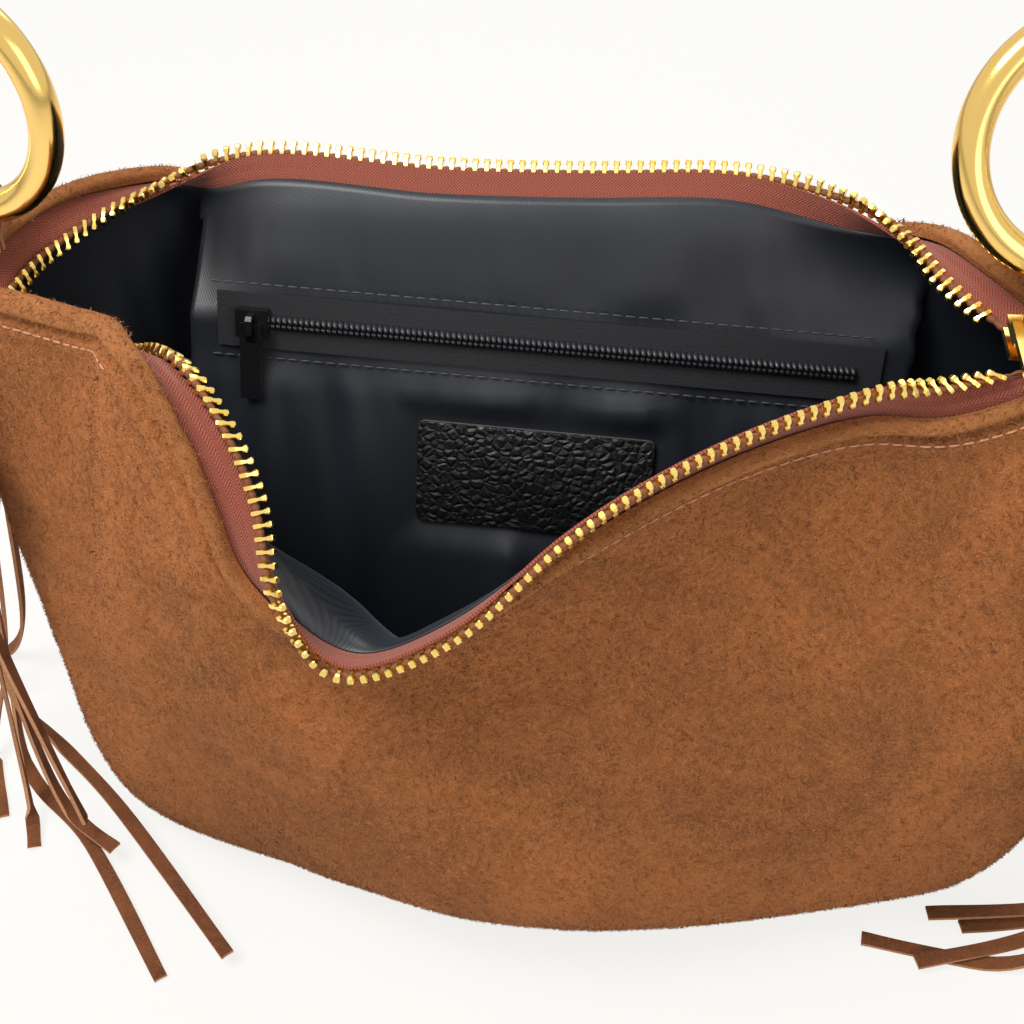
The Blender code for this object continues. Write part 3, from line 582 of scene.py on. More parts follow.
BACK_RIM = [
    LEFT_END,
    RimKey(-0.942, 33, -10.3, -45, -58, 14, 24),
    RimKey(-0.763, 54, -4, -90, 8, 22, 22),
    RimKey(-0.545, 62.5, 5.7, 90, 60, 24, 24),
    RimKey(-0.158, 59.5, 6.1, 90, 48, 24, 25),
    RimKey(0.137, 59.5, 7.2, 90, 48, 24, 28),
    RimKey(0.442, 59.5, 9.3, 90, 52, 24, 34),
    RimKey(0.645, 52, 8, -90, 84, 24, 44),
    RimKey(0.757, 37, 7, -130, 20, 20, 54),
    RimKey(0.839, 20, 4.2, -145, -20, 20, 64),
    RIGHT_END,
]


@dataclass
class Half:
    """One half of the bag's wall, from the chain down to the base edge."""

    keys: list[RimKey]
    sweep: float
    mouth: float = 249.8 * MM
    shift: float = -7.9 * MM
    height: float = 198.0 * MM
    base_width: float = 236.7 * MM
    base_depth: float = 51.4 * MM
    roundness: float = 1.9
    base_turn: float = -1.0
    lift: float = 40.8 * MM
    foot_height: float = 1.95 * MM
    tape: float = 9.5 * MM
    fold: float = 1.4 * MM
    folds: int = 9
    tape_steps: int = 6
    samples: int = 48
    steps: int = 400

    def __post_init__(self) -> None:
        """Measure the rim."""
        half = self.mouth / 2
        self.points = [
            Vector((self.shift + k.share * half, k.y * MM, self.height + k.rise * MM)) for k in self.keys
        ]
        self.tapes = [direction(k.azimuth, k.elevation) for k in self.keys]
        self.reaches = [k.reach * MM for k in self.keys]
        self.pushes = [k.push * MM for k in self.keys]
        places = [i * (len(self.keys) - 1) / self.steps for i in range(self.steps + 1)]
        self.runs = run_along(np.array([tuple(blend(self.points, p)) for p in places]))
        self.places = np.array(places)
        self.length = float(self.runs[-1])

    def place(self, distance: float) -> float:
        """Give the key place at a distance along the rim from the left end."""
        return float(np.interp(distance, self.runs, self.places))

    def rim(self, distance: float) -> Vector:
        """Give the chain's point at a distance along the rim."""
        return blend(self.points, self.place(distance))

    def way(self, distance: float) -> Vector:
        """Give the unit way from the suede edge to the chain."""
        return blend(self.tapes, self.place(distance)).normalized()

    def foot(self, angle: float) -> tuple[Vector, Vector]:
        """Give a point on the base outline and the outward way there.

        Args:
            angle: the angle round the base in radians.

        Returns:
            The point and the unit way.
        """
        power = 2 / self.roundness
        cosine = math.cos(angle)
        sine = math.sin(angle)
        x = self.base_width / 2 * math.copysign(abs(cosine) ** power, cosine)
        y = self.base_depth / 2 * math.copysign(abs(sine) ** power, sine)
        outward = Vector((cosine * self.base_depth, sine * self.base_width, 0)).normalized()
        turn = Matrix.Rotation(math.radians(self.base_turn), 3, "Z")
        return turn @ Vector((x, y, self.foot_height)), turn @ outward

    def column(self, distance: float) -> np.ndarray:
        """Give points down the wall, from the chain to the base edge.

        Args:
            distance: the distance along the rim from the left end.

        Returns:
            One row for each point.
        """
        place = self.place(distance)
        angle = math.pi + self.sweep * distance / self.length
        foot, outward = self.foot(angle)
        top = blend(self.points, place)
        belly = foot + outward * blend(self.pushes, place) + Vector((0, 0, self.lift))
        away = -self.way(distance)
        edge = top + away * self.tape
        shoulder = edge + away * blend(self.reaches, place)
        wave = self.fold * math.sin(self.folds * angle)
        line = [top.lerp(edge, i / self.tape_steps) for i in range(self.tape_steps)]
        for i in range(self.samples + 1):
            t = i / self.samples
            s = 1 - t
            point = edge * s**3 + shoulder * 3 * s * s * t + belly * 3 * s * t * t + foot * t**3
            line.append(point + outward * wave * (4 * t * s) ** 2)
        return np.array([tuple(p) for p in line])


@dataclass
class WallForm:
    """The middle surface of the whole wall as a fine grid, front and back."""

    front_columns: int = 260
    back_columns: int = 200
    easing: float = 4.0
    easing_reach: int = 12

    def __post_init__(self) -> None:
        """Make the columns of both halves, each from left to right."""
        self.halves = {Face.FRONT: Half(FRONT_RIM, math.pi), Face.BACK: Half(BACK_RIM, -math.pi)}
        self.counts = {Face.FRONT: self.front_columns, Face.BACK: self.back_columns}
        self.columns = {}
        for face, half in self.halves.items():
            count = self.counts[face]
            lines = np.array([half.column(half.length * i / count) for i in range(count + 1)])
            self.columns[face] = self.eased(lines, half.tape_steps)

    def eased(self, lines: np.ndarray, tape_steps: int) -> np.ndarray:
        """Round the creases between columns below the chain, with the end columns kept.

        Args:
            lines: the columns, as an array of columns by samples by 3.
            tape_steps: the number of steps down the tape, over which the rounding grows.

        Returns:
            The rounded columns.
        """
        reach = self.easing_reach
        weights = np.exp(-0.5 * (np.arange(-reach, reach + 1) / self.easing) ** 2)
        weights /= weights.sum()
        before = 2 * lines[:1] - lines[reach:0:-1]
        after = 2 * lines[-1:] - lines[-2 : -reach - 2 : -1]
        padded = np.concatenate([before, lines, after])
        soft = sum(w * padded[k : k + len(lines)] for k, w in enumerate(weights))
        share = np.clip(np.arange(lines.shape[1]) / tape_steps, 0, 1)[None, :, None]
        return lines * (1 - share) + soft * share

    def grid(self, face: Face, depths: list[float], shares: list[float], start: float) -> tuple:
        """Give points and outward normals of the wall.

        Args:
            face: the half of the wall.
            depths: exact depths below the chain.
            shares: shares of the way from the start depth to the base edge, after those.
            start: the start depth of the shares.

        Returns:
            Points and normals, as arrays of rows by columns by 3.
        """
        rows = []
        for line in self.columns[face]:
            run = run_along(line)
            wanted = list(depths) + [start + s * (run[-1] - start) for s in shares]
            rows.append(np.stack([np.interp(wanted, run, line[:, k]) for k in range(3)], axis=1))
        points = np.array(rows).transpose(1, 0, 2)
        normals = np.cross(np.gradient(points, axis=0), np.gradient(points, axis=1))
        normals = unit(-normals if face is Face.BACK else normals)
        for _ in range(2):
            normals[1:-1] = normals[:-2] + normals[1:-1] * 2 + normals[2:]
            normals = unit(normals)
        return points, normals


def skin(outer: np.ndarray, inner: np.ndarray) -> tuple[list, list]:
    """Join two grids into one closed skin.

    Args:
        outer: the outer grid of rows by columns by 3.
        inner: the inner grid, of the same size.

    Returns:
        The points and the faces.
    """
    rows, count = outer.shape[:2]
    points = np.concatenate([outer.reshape(-1, 3), inner.reshape(-1, 3)])
    shift = rows * count
    faces = []
    for r in range(rows - 1):
        for c in range(count - 1):
            a = r * count + c
            faces.append((a, a + 1, a + count + 1, a + count))
            faces.append((shift + a + count, shift + a + count + 1, shift + a + 1, shift + a))
    for c in range(count - 1):
        for row in (0, rows - 1):
            a = row * count + c
            faces.append((a, shift + a, shift + a + 1, a + 1))
    for r in range(rows - 1):
        for c in (0, count - 1):
            a = r * count + c
            faces.append((a, a + count, shift + a + count, shift + a))
    return points.tolist(), faces


@dataclass
class SuedeBody:
    """The suede outer: two panels with a turned-over rim whose roll is painted paler as a highlight, a
    stitched hem, soft folds and a nap.
    """

    form: WallForm
    finishes: Finishes
    suede: float = 1.6 * MM
    roll: float = 3.2 * MM
    roll_rise: float = 1.8 * MM
    roll_steps: int = 10
    groove_drop: float = 4.48 * MM
    groove_width: float = 0.9 * MM
    groove_depth: float = 0.9
    hem: float = 8.0 * MM
    hem_rise: float = 0.9 * MM
    hem_blur: float = 1.6 * MM
    hem_drops: tuple = (3.6, 4.1, 4.6, 5.1, 5.7, 6.6, 8.0, 9.5, 11.0)
    wall: float = 200.0 * MM
    rows: int = 90
    fold_height: float = 1.1 * MM
    fold_fade: float = 20.0 * MM
    base_fade: float = 0.15
    fibre: float = 1.6 * MM
    fibre_width: float = 0.1 * MM
    fibres: int = 62000

    def thickness(self, drop: float) -> float:
        """Give the suede's height over the wall at a drop below its rim."""
        if drop <= self.roll:
            round_off = math.sqrt(max(1 - (2 * drop / self.roll - 1) ** 2, 0.0))
            return self.suede + self.hem_rise * (drop / self.roll) + self.roll_rise * round_off
        if drop <= self.hem:
            groove = math.exp(-(((drop - self.groove_drop) / self.groove_width) ** 2))
            return self.suede + self.hem_rise * (1 - self.groove_depth * groove)
        return self.suede + self.hem_rise * math.exp(-(((drop - self.hem) / self.hem_blur) ** 2))

    def panel(self, face: Face) -> tuple[np.ndarray, np.ndarray]:
        """Make one panel, which stands for its solid.

        Args:
            face: the half of the wall.

        Returns:
            Its outer points and their normals.
        """
        half = self.form.halves[face]
        turns = [math.pi * i / self.roll_steps for i in range(self.roll_steps + 1)]
        drops = [self.roll * (1 - math.cos(turn)) / 2 for turn in turns]
        drops += [d * MM for d in self.hem_drops]
        shares = [i / self.rows for i in range(1, self.rows + 1)]
        points, normals = self.form.grid(face, [half.tape + d for d in drops], shares, half.tape + drops[-1])
        depth = drops + [drops[-1] + s * self.wall for s in shares]
        outer = points.copy()
        for r, drop in enumerate(depth):
            outer[r] += normals[r] * self.thickness(drop)
        from_hem = np.clip((np.array(depth) - self.hem) / self.fold_fade, 0, 1)
        from_base = np.clip((1 - np.array([0.0] * len(drops) + shares)) / self.base_fade, 0, 1)
        fade = from_hem * from_base
        for r in np.flatnonzero(fade > 0):
            for c in range(outer.shape[1]):
                outer[r, c] += normals[r, c] * self.relief(outer[r, c]) * fade[r]
        thing = make_solid(f"suede_{face.value}_shell", *skin(outer, points), self.finishes.suede, 50)
        # The roll's faces take the paler suede as a painted highlight for the light that the raised roll
        # catches.
        refinish(thing, self.finishes.pale_suede_and_roll_highlight, range((outer.shape[1] - 1) * 2 * self.roll_steps))
        settle(thing, Bodies.BAG, "suede", f"suede_{face.value}")
        return outer, normals

    def relief(self, spot: np.ndarray) -> float:
        """Give the height of the soft folds and dents at a spot."""
        at = Vector(spot)
        broad = noise.noise(Vector((at.x / 0.07, at.y / 0.05, at.z / 0.045)))
        slanted = noise.noise(Vector(((at.x + at.z) / 0.022, 3.0, (at.z - 0.4 * at.x) / 0.06)))
        return self.fold_height * (1.1 * broad + 0.45 * slanted)

    def nap(self, face: Face, outer: np.ndarray, normals: np.ndarray) -> None:
        """Make the nap as one piece: short curly fibres standing from a panel.

        Args:
            face: the half of the wall, for its name.
            outer: the panel's outer points.
            normals: their normals.
        """
        rng = np.random.default_rng(7 if face is Face.FRONT else 8)
        rows, count = outer.shape[:2]
        size = np.linalg.norm(np.cross(np.gradient(outer, axis=0), np.gradient(outer, axis=1)), axis=2)
        weight = (size / size.sum()).reshape(-1)
        pick = rng.choice(rows * count, size=self.fibres, p=weight)
        r, c = pick // count, pick % count
        r2 = np.clip(r + 1, 0, rows - 1)
        c2 = np.clip(c + 1, 0, count - 1)
        u = rng.random((self.fibres, 1))
        v = rng.random((self.fibres, 1))
        base = outer[r, c] + (outer[r2, c] - outer[r, c]) * u + (outer[r, c2] - outer[r, c]) * v
        up = normals[r, c]
        side = rng.normal(size=(self.fibres, 3))
        side = unit(side - up * (side * up).sum(axis=1, keepdims=True))
        length = self.fibre * (0.5 + rng.random((self.fibres, 1)))
        across = np.cross(up, side)
        half = across * self.fibre_width
        base = base - up * self.fibre_width
        middle = base + up * length * 0.28 + side * length * 0.45
        tip = base + up * length * 0.3 + side * length * 0.85 + across * length * 0.3
        points = np.stack([base - half, base + half, middle + half, middle - half, tip], axis=1)
        faces = []
        for k in range(0, self.fibres * 5, 5):
            faces.append((k, k + 1, k + 2, k + 3))
            faces.append((k + 3, k + 2, k + 4))
        name = f"suede_{face.value}_nap"
        thing = make_object(name, points.reshape(-1, 3).tolist(), faces, self.finishes.suede, 180)
        # A third of the fibres take the paler suede as random paler tone; the same finish paints the roll's
        # highlight.
        thing.data.materials.append(self.finishes.pale_suede_and_roll_highlight)
        thing.data.materials.append(self.finishes.strip)
        tones = rng.choice(3, size=self.fibres, p=(0.4, 0.33, 0.27))
        thing.data.polygons.foreach_set("material_index", np.repeat(tones, 2))
        settle(thing, Bodies.BAG, "suede")

    def stitches(self, face: Face, mark: str, start: float, end: float) -> None:
        """Make a row of topstitching along the hem, as one piece.

        Args:
            face: the half of the wall.
            mark: the row's own mark, where there are two.
            start: the share of the front rim where the row starts.
            end: the share of the front rim where it ends.
        """
        half = self.form.halves[face]
        depth = half.tape + self.hem - 1.4 * MM
        points, normals = self.form.grid(face, [depth - 1 * MM, depth, depth + 1 * MM], [], 0.0)
        line = points[1] + normals[1] * (self.suede + self.hem_rise + 0.12 * MM)
        if face is Face.FRONT:
            line = line[int(len(line) * start) : int(len(line) * end)]
        name = f"topstitch_{face.value}{mark}"
        row = dashes(name, line, 3.2 * MM, 2.5 * MM, 0.28 * MM, self.finishes.thread)
        settle(row, Bodies.BAG, "suede")

    def build(self) -> None:
        """Make both panels, their nap and their stitches, and dress the base."""
        for face in (Face.FRONT, Face.BACK):
            self.nap(face, *self.panel(face))
        self.stitches(Face.BACK, "", 0.0, 1.0)
        self.stitches(Face.FRONT, "_left", 0.02, 0.22)
        self.stitches(Face.FRONT, "_right", 0.56, 0.98)
        dress("suede_base", self.finishes.suede)


def dashes(name: str, line: np.ndarray, pitch: float, length: float, radius: float,
           material: bpy.types.Material) -> bpy.types.Object:
    """Make a row of stitches along a line.

    Args:
        name: the piece's name.
        line: points along the row.
        pitch: the distance from one stitch to the next.
        length: the length of a stitch.
        radius: the thread's radius.
        material: the thread's finish.

    Returns:
        The stitches as one piece.
    """
    run = run_along(line)
    points = []
    faces = []
    for i in range(int(run[-1] / pitch) - 1):
        rings = []
        for j in range(5):
            t = (i + 0.5) * pitch + length * (j / 4 - 0.5)
            centre = Vector([float(np.interp(t, run, line[:, k])) for k in range(3)])
            after = Vector([float(np.interp(t + 0.4 * MM, run, line[:, k])) for k in range(3)])
            ahead = (after - centre).normalized() if (after - centre).length > 0 else Vector((1, 0, 0))
            one = ahead.orthogonal().normalized()
            girth = radius * (0.45 if j in (0, 4) else 1.0)
            rings.append(round_ring(centre, one, ahead.cross(one), girth, 6))
        more, loops = loft(rings, len(points))
        points += more
        faces += loops
    return make_object(name, points, faces, material, 70)


# A tooth's cross sections: how high each is in millimetres, and its shares of the width and the
# thickness. Two legs on the cord, a waist, and a head with a raised nib
TOOTH = [
    (-2.0, 0.86, 0.94), (-1.7, 1.0, 1.0), (-0.3, 1.0, 1.0), (0.1, 0.72, 0.9),
    (0.9, 0.7, 0.86), (1.2, 1.02, 0.8), (2.0, 1.0, 0.7), (2.3, 0.74, 0.5),
]


@dataclass
class MainZip:
    """The main zip: woven tapes, teeth clamped on a beaded cord, and the slider with its pull."""

    form: WallForm
    finishes: Finishes
    tape: float = 0.7 * MM
    inset: float = 0.6 * MM
    hidden: float = 4.5 * MM
    pitch: float = 3.0 * MM
    start: float = 6.0 * MM
    edge: float = 1.2 * MM
    tape_rows: int = 14
    tooth_width: float = 1.6 * MM
    tooth_thick: float = 2.6 * MM
    bead: float = 1.0 * MM
    bead_drop: float = 0.9 * MM
    ends: dict = field(default_factory=lambda: {Face.FRONT: 9.0 * MM, Face.BACK: 16.0 * MM})

    def web(self, face: Face) -> None:
        """Make one tape, from the cord to under the suede, which stands for its solid."""
        half = self.form.halves[face]
        width = half.tape + self.hidden - self.edge
        depths = [self.edge + width * i / self.tape_rows for i in range(self.tape_rows + 1)]
        points, normals = self.form.grid(face, depths, [], 0.0)
        verts, faces = skin(points - normals * self.inset, points - normals * (self.inset + self.tape))
        flat = [(float(run) / MM, depth / MM) for depth in depths for run in run_along(points[0])]
        thing = make_solid(f"tape_{face.value}", verts, faces, self.finishes.tape, 70, flat + flat)
        settle(thing, Bodies.BAG, "zip_tape", f"zip_tape_{face.value}")

    def axes(self, face: Face, distance: float) -> tuple[Vector, Vector, Vector, Vector]:
        """Give a tooth's place and its three ways.

        Args:
            face: the half of the wall.
            distance: the distance along the rim.

        Returns:
            Its centre, the way along the chain, across the tape and out towards the other half.
        """
        half = self.form.halves[face]
        out = half.way(distance)
        ahead = (half.rim(distance + MM) - half.rim(distance - MM)).normalized()
        across = ahead.cross(out).normalized() * (-1.0 if face is Face.FRONT else 1.0)
        ahead = (ahead - out * ahead.dot(out)).normalized()
        centre = half.rim(distance) - across * (self.inset + self.tape / 2)
        return centre, ahead, across, out

    def tooth(self, face: Face, distance: float, first: int) -> tuple[list, list]:
        """Make one tooth.

        Args:
            face: the half of the wall.
            distance: the distance along the rim.
            first: the number of its first point.

        Returns:
            Its points and faces.
        """
        centre, ahead, across, out = self.axes(face, distance)
        rings = []
        for high, wide, thick in TOOTH:
            middle = centre + out * high * MM
            one = ahead * self.tooth_width / 2 * wide
            two = across * self.tooth_thick / 2 * thick
            rings.append([middle + one * a + two * b for a, b in octagon(0.6, 0.6)])
        return loft(rings, first)

    def chain(self, face: Face) -> None:
        """Make one half of the chain: its teeth as one piece, which stands for their solid."""
        half = self.form.halves[face]
        points: list = []
        faces: list = []
        count = int((half.length - self.start - self.ends[face]) / self.pitch)
        for i in range(count):
            more, loops = self.tooth(face, self.start + (i + 0.5) * self.pitch, len(points))
            points += more
            faces += loops
        thing = make_solid(f"teeth_{face.value}", points, faces, self.finishes.brass, 35)
        settle(thing, Bodies.BAG, "gold_plate", f"zip_teeth_{face.value}")

    def cord(self, face: Face) -> None:
        """Make the beaded cord that the teeth are clamped on, swelling between them."""
        half = self.form.halves[face]
        step = self.pitch / 6
        rings = []
        for i in range(int((half.length - 2 * self.start) / step)):
            centre, _, across, out = self.axes(face, self.start + i * step)
            swell = 0.78 + 0.22 * math.cos(2 * math.pi * i * step / self.pitch)
            rings.append(round_ring(centre - out * self.bead_drop, across, out, self.bead * swell, 8))
        thing = make_solid(f"bead_{face.value}", *loft(rings), self.finishes.bead, 70)
        settle(thing, Bodies.BAG, "zip_tape")

    def build(self) -> None:
        """Make both halves and dress the slider and its pull."""
        for face in (Face.FRONT, Face.BACK):
            self.web(face)
            self.chain(face)
            self.cord(face)
        for name in ("zip_slider", "zip_pull"):
            dress(name, self.finishes.gold)


@dataclass
class Interior:
    """The satin lining and the inner zip pocket with its stitching and leather patch."""

    form: WallForm
    finishes: Finishes
    inset: float = 1.5 * MM
    cloth: float = 0.5 * MM
    edge_depths: tuple = (7.5 * MM, 9.5 * MM, 12.7 * MM)
    rows: int = 70
    wall_share: float = 0.9
    fold_depth: float = 5.5 * MM
    floor: float = 6.0 * MM
    pocket_tilt: float = 18.0
    pocket_slope: float = 1.5
    pocket_x: float = 2.0 * MM
    pocket_y: float = 37.5 * MM
    pocket_z: float = 165.6 * MM
    pocket_length: float = 174.0 * MM
    window: float = 15.0 * MM
    coil_length: float = 163.0 * MM
    coil_pitch: float = 1.5 * MM
    patch_width: float = 64.0 * MM
    patch_height: float = 30.0 * MM
    patch_corner: float = 2.0 * MM
    patch_drop: float = 39.0 * MM
    patch_x: float = -0.5 * MM
    # The lining hangs freely from this far beyond the pocket and the patch
    margin: float = 8.0 * MM

    def pocket(self) -> tuple[Vector, Vector, Vector, Vector]:
        """Give the pocket's centre, its way along, its way down and its way to the front."""
        tilt = math.radians(self.pocket_tilt)
        slope = math.radians(self.pocket_slope)
        upright = Vector((0, -math.sin(tilt), -math.cos(tilt)))
        along = Vector((1, 0, 0)) * math.cos(slope) + upright * math.sin(slope)
        down = upright * math.cos(slope) - Vector((1, 0, 0)) * math.sin(slope)
        return Vector((self.pocket_x, self.pocket_y, self.pocket_z)), along, down, down.cross(along)

    def spot(self, along_by: float, down_by: float, rise: float) -> Vector:
        """Give a place on the pocket's plane."""
        centre, along, down, front = self.pocket()
        return centre + along * along_by + down * down_by + front * rise

    def sheet(self, face: Face) -> np.ndarray:
        """Give the points of one half of the lining, in soft upright folds.

        Args:
            face: the half of the wall.

        Returns:
            An array of rows by columns by 3.
        """
        centre, _, _, front = self.pocket()
        shares = [i / self.rows * self.wall_share for i in range(1, self.rows + 1)]
        points, normals = self.form.grid(face, list(self.edge_depths), shares, self.edge_depths[-1])
        surface = points - normals * self.inset
        rows, count = surface.shape[:2]
        for r in range(rows):
            sag = math.sin(math.pi * min(r / rows * 1.05, 1.0)) ** 1.3
            for c in range(count):
                at = Vector(surface[r, c])
                fold = self.fold(face, c / count, r / rows) * sag
                at = at - Vector(normals[r, c]) * fold * self.fold_depth
                if face is Face.FRONT:
                    at = at + self.slack(c / count, r / rows)
                elif abs(at.x - self.pocket_x) < self.pocket_length / 2 + self.margin:
                    past = -(at - centre).dot(front)
                    soft = min(max((r - 1) / 12, 0.0), 1.0)
                    if past > -2 * MM:
                        flat = at + front * (past - (0.25 - 5.0 * fold * self.looseness(at)) * MM)
                        at = at.lerp(flat, soft)
                surface[r, c] = at
        return surface

    def lining(self) -> None:
        """Make the lining: a loose satin cup, which stands for its solid."""
        back = self.sheet(Face.BACK)[:, ::-1]
        loop = np.concatenate([self.sheet(Face.FRONT), back[:, 1:-1]], axis=1)
        rows, count = loop.shape[:2]
        points = loop.reshape(-1, 3).tolist()
        faces = []
        for r in range(rows - 1):
            for c in range(count):
                n = (c + 1) % count
                faces.append((r * count + c, (r + 1) * count + c, (r + 1) * count + n, r * count + n))
        points.append((0.0, 0.0, self.floor))
        last = (rows - 1) * count
        faces += [(last + c, len(points) - 1, last + (c + 1) % count) for c in range(count)]
        thing = make_object("satin_lining", points, faces, self.finishes.satin, 180)
        solid = thing.modifiers.new("cloth", "SOLIDIFY")
        solid.thickness = self.cloth
        solid.offset = 0.0
        settle(thing, Bodies.BAG, "satin_lining", "lining")

    def looseness(self, at: Vector) -> float:
        """Give how loose the back lining is at a place, from 0 by the pocket and the patch to 1."""
        centre, along, down, _ = self.pocket()
        across = abs((at - centre).dot(along) - self.patch_x)
        below = (at - centre).dot(down)
        from_tape = abs(below) - 9 * MM
        from_patch = max(across - self.patch_width / 2, abs(below - self.patch_drop) - self.patch_height / 2)
        return min(max(min(from_tape, from_patch) / self.margin, 0.0), 1.0)

    def slack(self, share: float, drop: float) -> Vector:
        """Give how the loose front lining hangs in beside the left lobe.

        Args:
            share: the share of the way along the front.
            drop: the share of the way down.

        Returns:
            The shift into the bag.
        """
        beside = math.exp(-(((share - 0.39) / 0.075) ** 2))
        down = math.sin(math.pi * min(drop / 0.5, 1.0) ** 0.6)
        return Vector((0.72, 0.6, -0.25)) * 27.0 * MM * beside * max(down, 0.0)

    def fold(self, face: Face, share: float, drop: float) -> float:
        """Give the height of the lining's folds, from 0 to 1.

        Args:
            face: the half of the wall.
            share: the share of the way round.
            drop: the share of the way down.

        Returns:
            The fold's height.
        """
        seed = 0.0 if face is Face.FRONT else 9.0
        wave = noise.noise(Vector((share * 17 + drop * 1.4, seed, drop * 1.1)))
        fine = noise.noise(Vector((share * 46 - drop * 2.0, seed + 3, drop * 2.0)))
        return min(max(0.45 + 0.75 * wave + 0.3 * fine, 0.0), 1.0)

    def coil(self) -> None:
        """Make the closed nylon coil: close slanted turns with a seam down the middle."""
        _, along, _, front = self.pocket()
        girth = self.coil_pitch * 0.47
        points: list = []
        faces: list = []
        for i in range(int(self.coil_length / self.coil_pitch)):
            at = -self.coil_length / 2 + (i + 0.5) * self.coil_pitch
            for side in (-1, 1):
                rings = []
                for j in range(6):
                    t = j / 5
                    down = side * (0.12 + 1.88 * t) * MM
                    rise = (1.1 + 1.35 * math.sin(math.pi * (0.3 + 0.7 * t))) * MM
                    middle = self.spot(at + (side * 0.25 * (t - 0.5)) * self.coil_pitch, down, rise)
                    rings.append(round_ring(middle, along, front, girth, 6))
                more, loops = loft(rings, len(points))
                points += more
                faces += loops
        thing = make_solid("coil_turns", points, faces, self.finishes.nylon, 60)
        settle(thing, Bodies.BAG, "black_coil", "pocket_coil")

    def seams(self) -> None:
        """Make the two rows of stitches above and below the pocket's window."""
        half = self.pocket_length / 2 + 2 * MM
        away = self.window / 2 + 2.6 * MM
        for name, down in (("upper", -away), ("lower", away)):
            line = np.array([tuple(self.spot(-half + 2 * half * i / 60, down, 1.0 * MM)) for i in range(61)])
            thread = self.finishes.black_thread
            row = dashes(f"pocket_stitch_{name}", line, 3.4 * MM, 2.5 * MM, 0.3 * MM, thread)
            settle(row, Bodies.BAG, "pocket_tape")

    def patch_piece(self) -> None:
        """Make the blank leather patch with soft corners and a bare cut edge, for its solid."""
        corner = self.patch_corner
        width = self.patch_width / 2 - corner
        height = self.patch_height / 2 - corner
        outline = []
        for cx, cy, start in ((1, 1, 0), (-1, 1, 90), (-1, -1, 180), (1, -1, 270)):
            for i in range(5):
                a = math.radians(start + 90 * i / 4)
                outline.append((cx * width + corner * math.cos(a), cy * height + corner * math.sin(a)))
        rings = []
        for rise, shrink in ((0.3, 0.0), (1.3, 0.0), (1.6, 0.15), (1.72, 0.5)):
            scale_x = 1 - 2 * shrink * MM / self.patch_width
            scale_y = 1 - 2 * shrink * MM / self.patch_height
            rings.append([self.spot(self.patch_x + x * scale_x, self.patch_drop - y * scale_y, rise * MM)
                          for x, y in outline])
        thing = make_solid("patch", *loft(rings), self.finishes.pebbled, 40)
        refinish(thing, self.finishes.raw, range(1, 1 + len(outline)))
        settle(thing, Bodies.BAG, "patch_leather", "leather_patch")

    def build(self) -> None:
        """Make the lining and everything in it."""
        self.lining()
        self.coil()
        self.seams()
        self.patch_piece()
        for name in ("pocket_tape", "pocket_pouch"):
            dress(name, self.finishes.weave)
        for name in ("pocket_slider", "pocket_pull"):
            dress(name, self.finishes.enamel)


@dataclass
class RingFitting:
    """A polished ring in its suede tab."""

    side: str
    body: Bodies
    finishes: Finishes
    bottom: Vector
    turn: float
    lean: float
    drop: float
    radius: float = 27.0 * MM
    tube: float = 4.0 * MM
    tab_width: float = 13.0 * MM
    suede: float = 1.6 * MM
    clearance: float = 0.4 * MM
    neck: float = 2.5 * MM
    major: int = 144
    minor: int = 36

    def ring(self) -> None:
        """Make the ring, which stands for its solid."""
        turn = Matrix.Rotation(math.radians(self.turn), 4, "Z")
        lean = Matrix.Rotation(-math.radians(self.lean), 4, "X")
        matrix = Matrix.Translation(self.bottom) @ turn @ lean
        points, faces = [], []
        for i in range(self.major):
            around = 2 * math.pi * i / self.major
            row = i * self.minor
            after = (i + 1) % self.major * self.minor
            for j in range(self.minor):
                about = 2 * math.pi * j / self.minor
                reach = self.radius + self.tube * math.cos(about)
                points.append(matrix @ Vector((reach * math.sin(around), self.tube * math.sin(about),
                                               self.radius - reach * math.cos(around))))
                m = (j + 1) % self.minor
                faces.append((row + j, row + m, after + m, after + j))
        thing = make_solid(f"gold_ring_{self.side}", points, faces, self.finishes.gold, 60)
        settle(thing, self.body, "gold_plate", f"ring_{self.side}")

    def tab(self) -> None:
        """Make the folded suede tab round the ring, which stands for its solid."""
        level = Matrix.Translation(self.bottom) @ Matrix.Rotation(math.radians(self.turn), 4, "Z")
        half = self.tab_width / 2
        sagitta = self.radius - math.sqrt(self.radius**2 - half**2)
        radius = self.tube + sagitta + self.clearance + self.suede / 2
        foot = self.suede / 2 + 0.15 * MM
        path = [(foot, -self.drop), (foot, -radius - self.neck)]
        start = math.radians(-60)
        steps = 22
        for i in range(steps + 1):
            angle = start + (math.pi / 2 - start) * i / steps
            path.append((radius * math.cos(angle), radius * math.sin(angle)))
        path += [(-a, b) for a, b in reversed(path[:-1])]
        rings = []
        for i, (across, high) in enumerate(path):
            before = path[max(i - 1, 0)]
            after = path[min(i + 1, len(path) - 1)]
            ahead = Vector((0, after[0] - before[0], after[1] - before[1])).normalized()
            out = Vector((0, ahead.z, -ahead.y)) * self.suede / 2
            rings.append([level @ (Vector((wide * half, across, high)) + out * thick)
                          for wide, thick in octagon(0.96, 0.7)])
        points, faces = loft(rings)
        thing = make_solid(f"tab_{self.side}", points, faces, self.finishes.suede, 50)
        refinish(thing, self.finishes.cut, [i for i in range(1, len(faces) - 1) if (i - 1) % 8 in (3, 7)])
        settle(thing, Bodies.BAG, "suede", f"ring_tab_{self.side}")

    def build(self) -> None:
        """Make the ring and its tab."""
        self.ring()
        self.tab()


